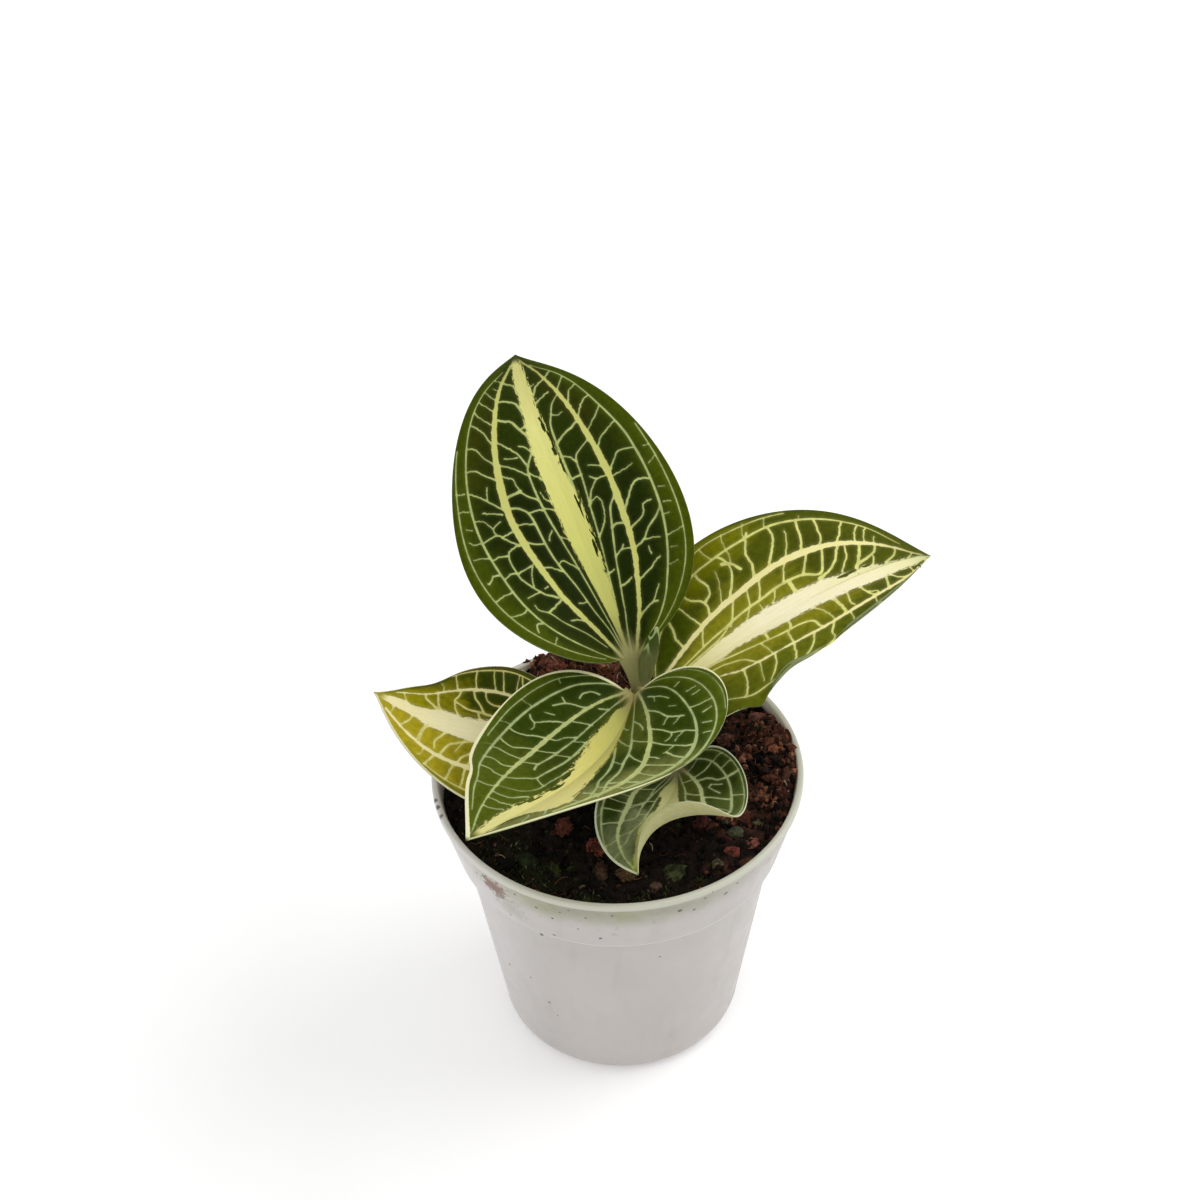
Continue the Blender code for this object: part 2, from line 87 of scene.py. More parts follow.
# --- mesh helpers ------------------------------------------------------------------------
def mesh_piece(name, points, faces, skins, slot, replaces=None, kinds=None, smooth=True):
    """A mesh from points in millimetres and triangles; kinds says which skin each one has."""
    mesh = bpy.data.meshes.new(name)
    points = np.asarray(points, np.float32) * MM
    faces = np.asarray(faces, np.int32)
    mesh.vertices.add(len(points))
    mesh.vertices.foreach_set("co", points.ravel())
    mesh.loops.add(faces.size)
    mesh.loops.foreach_set("vertex_index", faces.ravel())
    mesh.polygons.add(len(faces))
    mesh.polygons.foreach_set("loop_start", np.arange(0, faces.size, 3, dtype=np.int32))
    mesh.polygons.foreach_set("use_smooth", np.full(len(faces), smooth))
    for skin in skins:
        mesh.materials.append(skin)
    if kinds is not None:
        mesh.polygons.foreach_set("material_index", np.asarray(kinds, np.int32))
    mesh.update(calc_edges=True)
    made = bpy.data.objects.new(name, mesh)
    bpy.context.scene.collection.objects.link(made)
    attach(made, "root")
    if replaces:
        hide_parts(replaces)
    return made


def store(made, name, values):
    """Keeps a value for each vertex, for the material to read."""
    layer = made.data.attributes.new(name, "FLOAT", "POINT")
    layer.data.foreach_set("value", np.asarray(values, np.float32).ravel())


def store_vector(made, name, values):
    """Keeps a vector for each vertex, for the material to read."""
    layer = made.data.attributes.new(name, "FLOAT_VECTOR", "POINT")
    layer.data.foreach_set("vector", np.asarray(values, np.float32).ravel())


def store_uv(made, uv):
    """Keeps a place on the baked picture for each vertex."""
    layer = made.data.uv_layers.new(name="OFBake")
    corners = np.empty(len(made.data.loops), np.int32)
    made.data.loops.foreach_get("vertex_index", corners)
    layer.data.foreach_set("uv", np.asarray(uv, np.float32)[corners].ravel())


def turns(sides):
    """Even angles round a ring."""
    return 2 * np.pi * np.arange(sides) / sides


def cut(quads):
    """Two triangles for each quad."""
    return np.concatenate([quads[:, [0, 1, 2]], quads[:, [0, 2, 3]]])


def ring_walls(rows, sides, outwards=True):
    """Triangles between rings of points; with outwards, a path that rises looks outwards."""
    r, i = np.meshgrid(np.arange(rows - 1), np.arange(sides), indexing="ij")
    j = (i + 1) % sides
    corners = [r * sides + i, r * sides + j, (r + 1) * sides + j, (r + 1) * sides + i]
    if not outwards:
        corners = [corners[k] for k in (0, 3, 2, 1)]
    return cut(np.stack(corners, -1).reshape(-1, 4))


def fan(first, sides, hub, forward):
    """Triangles from the ring that starts at point first to one hub point, in ring order or not."""
    here = first + np.arange(sides)
    after = first + (np.arange(sides) + 1) % sides
    pair = (here, after) if forward else (after, here)
    return np.stack([*pair, np.full(sides, hub)], -1)


def through(points, steps, overshoot=True):
    """A smooth line through the points, with this many steps between each two."""
    points = np.array(points, float)
    beyond = 1 if overshoot else 0
    first = points[0] + beyond * (points[0] - points[1])
    last = points[-1] + beyond * (points[-1] - points[-2])
    padded = np.vstack([first, points, last])
    f = np.linspace(0, 1, steps + 1)[:-1, None]
    runs = []
    for before, a, b, after in zip(padded, padded[1:], padded[2:], padded[3:]):
        runs.append(0.5 * (2 * a + (b - before) * f + (2 * before - 5 * a + 4 * b - after) * f * f
                           + (3 * a - before - 3 * b + after) * f ** 3))
    return np.vstack(runs + [points[-1:]])


def rod(path, widths, sides, flat=1.0):
    """Points and triangles of a closed rod. widths is rows by sides."""
    count = len(path)
    turn = turns(sides)[:, None]
    points = []
    for k in range(count):
        tangent = path[min(k + 1, count - 1)] - path[max(k - 1, 0)]
        tangent = tangent / np.linalg.norm(tangent)
        side = np.cross((0.0, 1.0, 0.0), tangent)
        side = side / np.linalg.norm(side)
        other = flat * np.cross(tangent, side)
        points.append(path[k] + widths[k][:, None] * (np.cos(turn) * side + np.sin(turn) * other))
    points = np.concatenate(points + [path[:1], path[-1:]])
    low, high = len(points) - 2, len(points) - 1
    return points, np.concatenate([ring_walls(count, sides), fan(0, sides, low, False),
                                   fan((count - 1) * sides, sides, high, True)])


def turned(points, angle):
    """The points turned about the vertical, by an angle in radians."""
    c, s = math.cos(angle), math.sin(angle)
    x, y, z = points.T
    return np.stack([c * x - s * y, s * x + c * y, z], -1)


class Pile:
    """Many small closed lumps gathered into one mesh, each with its own kind of skin."""

    def __init__(self):
        self.points, self.faces, self.kinds = [], [], []
        self.count = 0

    def add(self, points, faces, kind=0):
        """One more lump, with the number of its skin."""
        self.points.append(points)
        self.faces.append(faces + self.count)
        self.kinds.append(np.full(len(faces), kind))
        self.count += len(points)

    def make(self, name, skins, slot, smooth=True):
        """The whole pile as one piece."""
        points, faces, kinds = (np.concatenate(part) for part in (self.points, self.faces, self.kinds))
        mesh_piece(name, points, faces, skins, slot, kinds=kinds, smooth=smooth)


# --- material helpers --------------------------------------------------------------------
class Output:
    """A node's output, so that sums and products of outputs read as formulas."""

    def __init__(self, skin, socket):
        self.skin = skin
        self.socket = socket

    def __add__(self, other):
        return self.skin.math("ADD", self, other)

    def __sub__(self, other):
        return self.skin.math("SUBTRACT", self, other)

    def __mul__(self, other):
        return self.skin.math("MULTIPLY", self, other)

    def __truediv__(self, other):
        return self.skin.math("DIVIDE", self, other)

    def __abs__(self):
        return self.skin.math("ABSOLUTE", self)


class Skin:
    """A material being put together, with short calls for the nodes used here."""

    def __init__(self, name, roughness, specular, **sockets):
        self.material = bpy.data.materials.new(name)
        self.material.use_nodes = True
        self.tree = self.material.node_tree
        self.shader = self.tree.nodes["Principled BSDF"]
        self.roughness(roughness)
        self.shader.inputs["Specular IOR Level"].default_value = specular
        for socket, value in sockets.items():
            self.shader.inputs[socket.replace("_", " ")].default_value = value

    def link(self, source, target):
        """Feeds an input from a number, a tuple or another node's output."""
        if isinstance(source, Output):
            self.tree.links.new(source.socket, target)
        else:
            target.default_value = source

    def node(self, kind, output, inputs=(), **settings):
        """A new node with its settings and inputs; returns one of its outputs."""
        node = self.tree.nodes.new("ShaderNode" + kind)
        for name, value in settings.items():
            setattr(node, name, value)
        for name, value in dict(inputs).items():
            self.link(value, node.inputs[name])
        return Output(self, node.outputs[output])

    def attribute(self, name, output="Fac"):
        """What a mesh keeps for each vertex under this name."""
        return self.node("Attribute", output, attribute_name=name)

    def place(self):
        """The point in the row frame, in metres."""
        return self.node("TexCoord", "Object")

    def stretched(self, vector, scale):
        """A vector with each of its parts scaled."""
        return self.node("Mapping", "Vector", {"Vector": vector, "Scale": scale})

    def noise(self, vector, scale, detail=3.0, harsh=0.55, distortion=0.0):
        """Noise from 0 to 1, with scale cells to each unit."""
        return self.node("TexNoise", "Fac", {
            "Vector": vector, "Scale": scale, "Detail": detail, "Roughness": harsh,
            "Distortion": distortion})

    def math(self, operation, a, b=0.0):
        """One of the maths node's operations on two values."""
        return self.node("Math", 0, enumerate((a, b)), operation=operation)

    def larger(self, a, b):
        """The larger of two values."""
        return self.math("MAXIMUM", a, b)

    def smaller(self, a, b, blend=None):
        """The smaller of two values, with a soft join if blend is given."""
        if blend is None:
            return self.math("MINIMUM", a, b)
        return self.node("Math", 0, enumerate((a, b, blend)), operation="SMOOTH_MIN")

    def ramp(self, value, low, high, to_low=0.0, to_high=1.0, kind="SMOOTHSTEP"):
        """The value carried from one range to another, and held at its ends."""
        return self.node("MapRange", "Result", {
            "Value": value, "From Min": low, "From Max": high, "To Min": to_low,
            "To Max": to_high}, interpolation_type=kind)

    def stops(self, value, stops):
        """A colour that runs through stops of (place, red, green, blue)."""
        node = self.tree.nodes.new("ShaderNodeValToRGB")
        self.link(value, node.inputs["Fac"])
        ramp = node.color_ramp
        while len(ramp.elements) < len(stops):
            ramp.elements.new(0.5)
        for element, (place, *tone) in zip(ramp.elements, stops):
            element.position = place
            element.color = srgb(*tone)
        return Output(self, node.outputs["Color"])

    def grey(self, value):
        """A grey of this value."""
        return self.node("CombineColor", 0, enumerate((value, value, value)))

    def mix(self, share, a, b, blend="MIX"):
        """Colour a with this share of colour b; each is an output or red, green and blue."""
        node = self.tree.nodes.new("ShaderNodeMix")
        node.data_type = "RGBA"
        node.blend_type = blend
        self.link(share, node.inputs["Factor"])
        for socket, colour in (("A", a), ("B", b)):
            self.link(colour if isinstance(colour, Output) else srgb(*colour), node.inputs[socket])
        return Output(self, next(out for out in node.outputs if out.type == "RGBA"))

    def distance(self, vector, point):
        """How far the vector's end is from a point."""
        return self.node("VectorMath", "Value", enumerate((vector, point)), operation="DISTANCE")

    def parts(self, vector):
        """The x, y and z of a vector."""
        return [self.node("SeparateXYZ", axis, {0: vector}) for axis in "XYZ"]

    def colour(self, source):
        """Feeds the shader's colour."""
        self.link(source, self.shader.inputs["Base Color"])

    def roughness(self, source):
        """Feeds the shader's roughness."""
        self.link(source, self.shader.inputs["Roughness"])

    def bump(self, height, distance, strength):
        """Adds relief, with its distance in millimetres, to any bump already there."""
        before = self.shader.inputs["Normal"].links
        inputs = {"Height": height, "Distance": distance * MM, "Strength": strength}
        if before:
            inputs["Normal"] = Output(self, before[0].from_socket)
        self.link(self.node("Bump", "Normal", inputs), self.shader.inputs["Normal"])


# --- leaf shape --------------------------------------------------------------------------
THICKNESS = 0.55
EDGE_THICKNESS = 0.22
# The blade thins to this share of its depth before its tip, which has a depth of its own.
TIP_SHRINK = 0.35
TIP_THICKNESS = 0.15
TIP_ROWS = 24
PETIOLE_HALF_WIDTH = 1.3
PETIOLE_ROWS = 26
# How firmly the petiole runs on in the blade's own direction where the two meet.
PETIOLE_PULL = 0.6
# The share of the leaf over which the flare at its foot fades.
FLARE_REACH = 0.035
RIB_STEPS = 60


def leaf(length, half_width, base, rise, heading, bank, corner, tip, reach,
         fold, cup, petiole, neck, flare, point, wave=()):
    """One leaf's shape, in degrees and millimetres.

    rise, heading and bank are the midrib's at its base, middle and tip. corner and tip are the
    outline's angles at its two ends, left and right, and reach says how far its four handles go.
    fold and cup bend each half across. petiole is the height on the stem, the side of the stem
    and how wide its channel opens. neck and flare widen the blade's foot, and point draws its
    tip out. A wave is a side, a place along the leaf, its spread, its lift and its push outwards.
    """
    return dict(length=length, half_width=half_width, base=base, rise=rise, heading=heading,
                bank=bank, corner=corner, tip=tip, reach=reach, fold=fold, cup=cup,
                petiole=petiole, neck=neck, flare=flare, point=point, wave=wave)


SHAPES = {
    "leaf_top": leaf(
        66.5, 24.0, (2.6, 3.0, 88.0), (50, 32.5, -11), (124, 113.5, 95.5), (8, -5, -2),
        (82, 82), (50, 47), (0.465, 0.505, 0.405, 0.50),
        ((16.5, 8.5, 1), (11, 12, 5)), ((11, -43, -1), (8, 2, -1)),
        (80.1, 108, 3.4), 2.2, 0.9, (1.3, 1.6)),
    "leaf_right": leaf(
        60.0, 20.0, (8.4, 1.1, 80.2), (20.5, 15.5, -26), (25, 24, 36), (5.5, 13, 12),
        (85, 100.5), (56, 49.5), (0.497, 0.44, 0.466, 0.06),
        ((6.5, 14, -1), (5.5, 20.5, -6.5)), ((0, 0, 0), (-12, -16.5, -19)),
        (76.2, 12, 1.7), 1.6, 0.0, (0.8, 1.4),
        [(-1, 0.23, 0.04, -1.3, 1.4), (-1, 0.36, 0.053, 1.3, -0.65),
         (-1, 0.51, 0.045, -0.9, 0.3)]),
    "leaf_left": leaf(
        45.0, 18.0, (-1.2, -0.4, 69.6), (12.5, 17.5, 11.5), (192, 181, 152.5),
        (15.5, -10, 4), (100, 99.5), (52.5, 50.5), (0.475, 0.555, 0.46, 0.55),
        ((5.5, -16, 6.5), (-6, 4, 2.5)), ((0, 0, 0), (0, 0, 0)),
        (65.5, 190, 1.9), 1.4, 0.0, (0.9, 1.3), [(-1, 0.80, 0.085, -0.9, -0.6)]),
    "leaf_front": leaf(
        55.0, 20.0, (3.3, -2.4, 82.9), (-2.5, 16.5, -1), (257, 238, 212), (1, 5.5, 0.5),
        (100, 99), (40.5, 66.5), (0.68, 0.54, 0.48, 0.565),
        ((55, 44, 32), (35, 11.5, 14.5)), ((-38.5, -59, -19), (-6.5, -9, -8.5)),
        (77.2, 258, 1.65), 1.5, 0.7, (0.5, 1.2), [(-1, 0.80, 0.05, 0.3, -0.8)]),
    "leaf_low": leaf(
        37.7, 12.0, (11.0, -2.4, 63.7), (7, 20.5, 1.5), (273.5, 247, 279), (20, 3.5, 29),
        (100.5, 100.5), (66, 49.5), (0.49, 0.607, 0.43, 0.53),
        ((23, 28, 55), (9.5, 2.5, 8)), ((4, -22.5, 74), (0, 0, 0)),
        (60.6, 330, 1.95), 1.3, 0.0, (0.5, 1.0)),
}
STEM_PATH = [(6.4, 2.1, 52.4), (6.4, 2.1, 59.0), (5.9, 1.9, 64.0), (5.1, 1.6, 70.0),
             (4.5, 1.4, 75.0), (4.2, 1.3, 79.6)]
STEM_RADII = [1.6, 1.6, 1.55, 1.45, 1.35, 1.2]
CLEARANCE = 0.3


def at(values, s):
    """A smooth curve through a first, a middle and a last value, at share s."""
    first, middle, last = values
    return first * (1 - s) * (1 - 2 * s) + middle * 4 * s * (1 - s) + last * s * (2 * s - 1)


def sided(pair, v):
    """The left value of a pair where v is positive, and the right value elsewhere."""
    return np.where(v >= 0, pair[0], pair[1])


def outline(shape, v, t):
    """Flat position, in millimetres, of the line v (-1 right margin, 1 left) at t."""
    v, t = np.broadcast_arrays(np.asarray(v, float), np.asarray(t, float))
    corner = np.radians(sided(shape["corner"], v))
    tip = np.radians(sided(shape["tip"], v))
    near = sided(shape["reach"][0::2], v) * shape["length"]
    far = sided(shape["reach"][1::2], v) * shape["length"]
    start = v * shape["neck"]
    xs = (0.0, near * np.cos(v * corner), shape["length"] - far * np.cos(v * tip),
          shape["length"])
    ys = (start, start + near * np.sin(v * corner), far * np.sin(v * tip), 0.0)
    weights = ((1 - t) ** 3, 3 * t * (1 - t) ** 2, 3 * t * t * (1 - t), t ** 3)
    flare = v * shape["flare"] * np.exp(-t / FLARE_REACH)
    return (sum(w * x for w, x in zip(weights, xs)),
            sum(w * y for w, y in zip(weights, ys)) + flare)


def arc(angle, bend, width):
    """End of an arc that starts at an angle and turns by bend over each millimetre."""
    bend = np.where(np.abs(bend) < 1e-6, 1e-6, bend)
    return ((np.sin(angle + bend * width) - np.sin(angle)) / bend,
            (np.cos(angle) - np.cos(angle + bend * width)) / bend)


def directions(rise, heading, bank):
    """Unit vectors along the midrib, to its left and out of its upper face."""
    rise, heading, bank = np.radians(rise), np.radians(heading), np.radians(bank)
    along = np.stack([np.cos(rise) * np.cos(heading), np.cos(rise) * np.sin(heading),
                      np.sin(rise)], -1)
    level = np.stack([-np.sin(heading), np.cos(heading), 0 * heading], -1)
    up = np.cross(along, level)
    cos_bank, sin_bank = np.cos(bank)[..., None], np.sin(bank)[..., None]
    return along, cos_bank * level + sin_bank * up, cos_bank * up - sin_bank * level


def blade(shape, v, t, lift_more=0.0):
    """Points of the upper face in space, in millimetres."""
    share = np.linspace(0, 1, RIB_STEPS + 1)
    along, left, out = directions(*(at(shape[turn], share) for turn in ("rise", "heading", "bank")))
    steps = (along[1:] + along[:-1]) / 2 * shape["length"] / RIB_STEPS
    rib = np.vstack([[0, 0, 0], np.cumsum(steps, 0)]) + np.array(shape["base"])
    x, y = outline(shape, v, t)
    s = np.clip(x / shape["length"], 0, 1)
    middle, forward, sideways, upward = (
        np.stack([np.interp(s, share, line[:, i]) for i in range(3)], -1)
        for line in (rib, along, left, out))
    fold, cup = (np.radians(sided([at(half, s) for half in shape[bend]], v)) for bend in ("fold", "cup"))
    across, lift = arc(fold, cup / shape["half_width"], np.abs(y))
    for edge, place, spread, height, widen in shape["wave"]:
        swell = v * v * np.exp(-((s - place) / spread) ** 2) * (edge * v > 0)
        lift = lift + height * swell
        across = across + widen * swell
    extra, reach = shape["point"]
    drawn_out = extra * np.exp(-(shape["length"] - x) / reach)
    return (middle + forward * (np.minimum(x, 0.0) + drawn_out)[..., None]
            + sideways * np.where(v >= 0, across, -across)[..., None]
            + upward * (lift + lift_more)[..., None])


def stem_at(height):
    """The stem's middle and radius at this height."""
    x, y, levels = zip(*STEM_PATH)
    return [float(np.interp(height, levels, values)) for values in (x, y, STEM_RADII)]


def stalk(shape, v, rows):
    """Points of the petiole, foot to blade, rows by columns."""
    height, side_of_stem, channel = shape["petiole"]
    stem_x, stem_y, radius = stem_at(height)
    around = math.radians(side_of_stem)
    reach = radius + CLEARANCE + 0.05 if height < STEM_PATH[-1][2] else 0.0
    foot = np.array([stem_x + reach * math.cos(around), stem_y + reach * math.sin(around), height])
    base = np.array(shape["base"])
    span = np.linalg.norm(base - foot)
    start = directions(shape["rise"][0], shape["heading"][0], 0.0)[0]
    leave = np.array([0.0, 0.0, span])
    arrive = start * span * PETIOLE_PULL
    grid = []
    for k in range(rows):
        u = k / rows
        place = (foot * (2 * u ** 3 - 3 * u * u + 1) + leave * (u ** 3 - 2 * u * u + u)
                 + base * (3 * u * u - 2 * u ** 3) + arrive * (u ** 3 - u * u))
        ahead = (foot * (6 * u * u - 6 * u) + leave * (3 * u * u - 4 * u + 1)
                 + base * (6 * u - 6 * u * u) + arrive * (3 * u * u - 2 * u))
        ahead = ahead / np.linalg.norm(ahead)
        heading = math.radians(side_of_stem + (shape["heading"][0] - side_of_stem) * u)
        level = np.array([-math.sin(heading), math.cos(heading), 0.0])
        level = level - ahead * level.dot(ahead)
        level = level / np.linalg.norm(level)
        upper = np.cross(ahead, level)
        bank = math.radians(shape["bank"][0]) * u
        sideways = math.cos(bank) * level + math.sin(bank) * upper
        upper = math.cos(bank) * upper - math.sin(bank) * level
        fold = np.radians(sided([half[0] for half in shape["fold"]], v)) * u
        half = PETIOLE_HALF_WIDTH + (shape["neck"] + shape["flare"] - PETIOLE_HALF_WIDTH) * u * u
        across, lift = arc(fold, (1 - u) / channel * PETIOLE_HALF_WIDTH / half, half * np.abs(v))
        grid.append(place + sideways * np.where(v >= 0, across, -across)[:, None]
                    + upper * lift[:, None])
    return np.array(grid)


# --- veins -------------------------------------------------------------------------------
# In mm: how far from a vein still counts, how wide two veins join, how high the lamina rises
# between them, and over how far from a vein and from the margin it does so.
FIELD_FAR = 1.6
WEB = 0.22
PUFF = 0.16
PUFF_REACH = 0.5
PUFF_RIM = 1.2
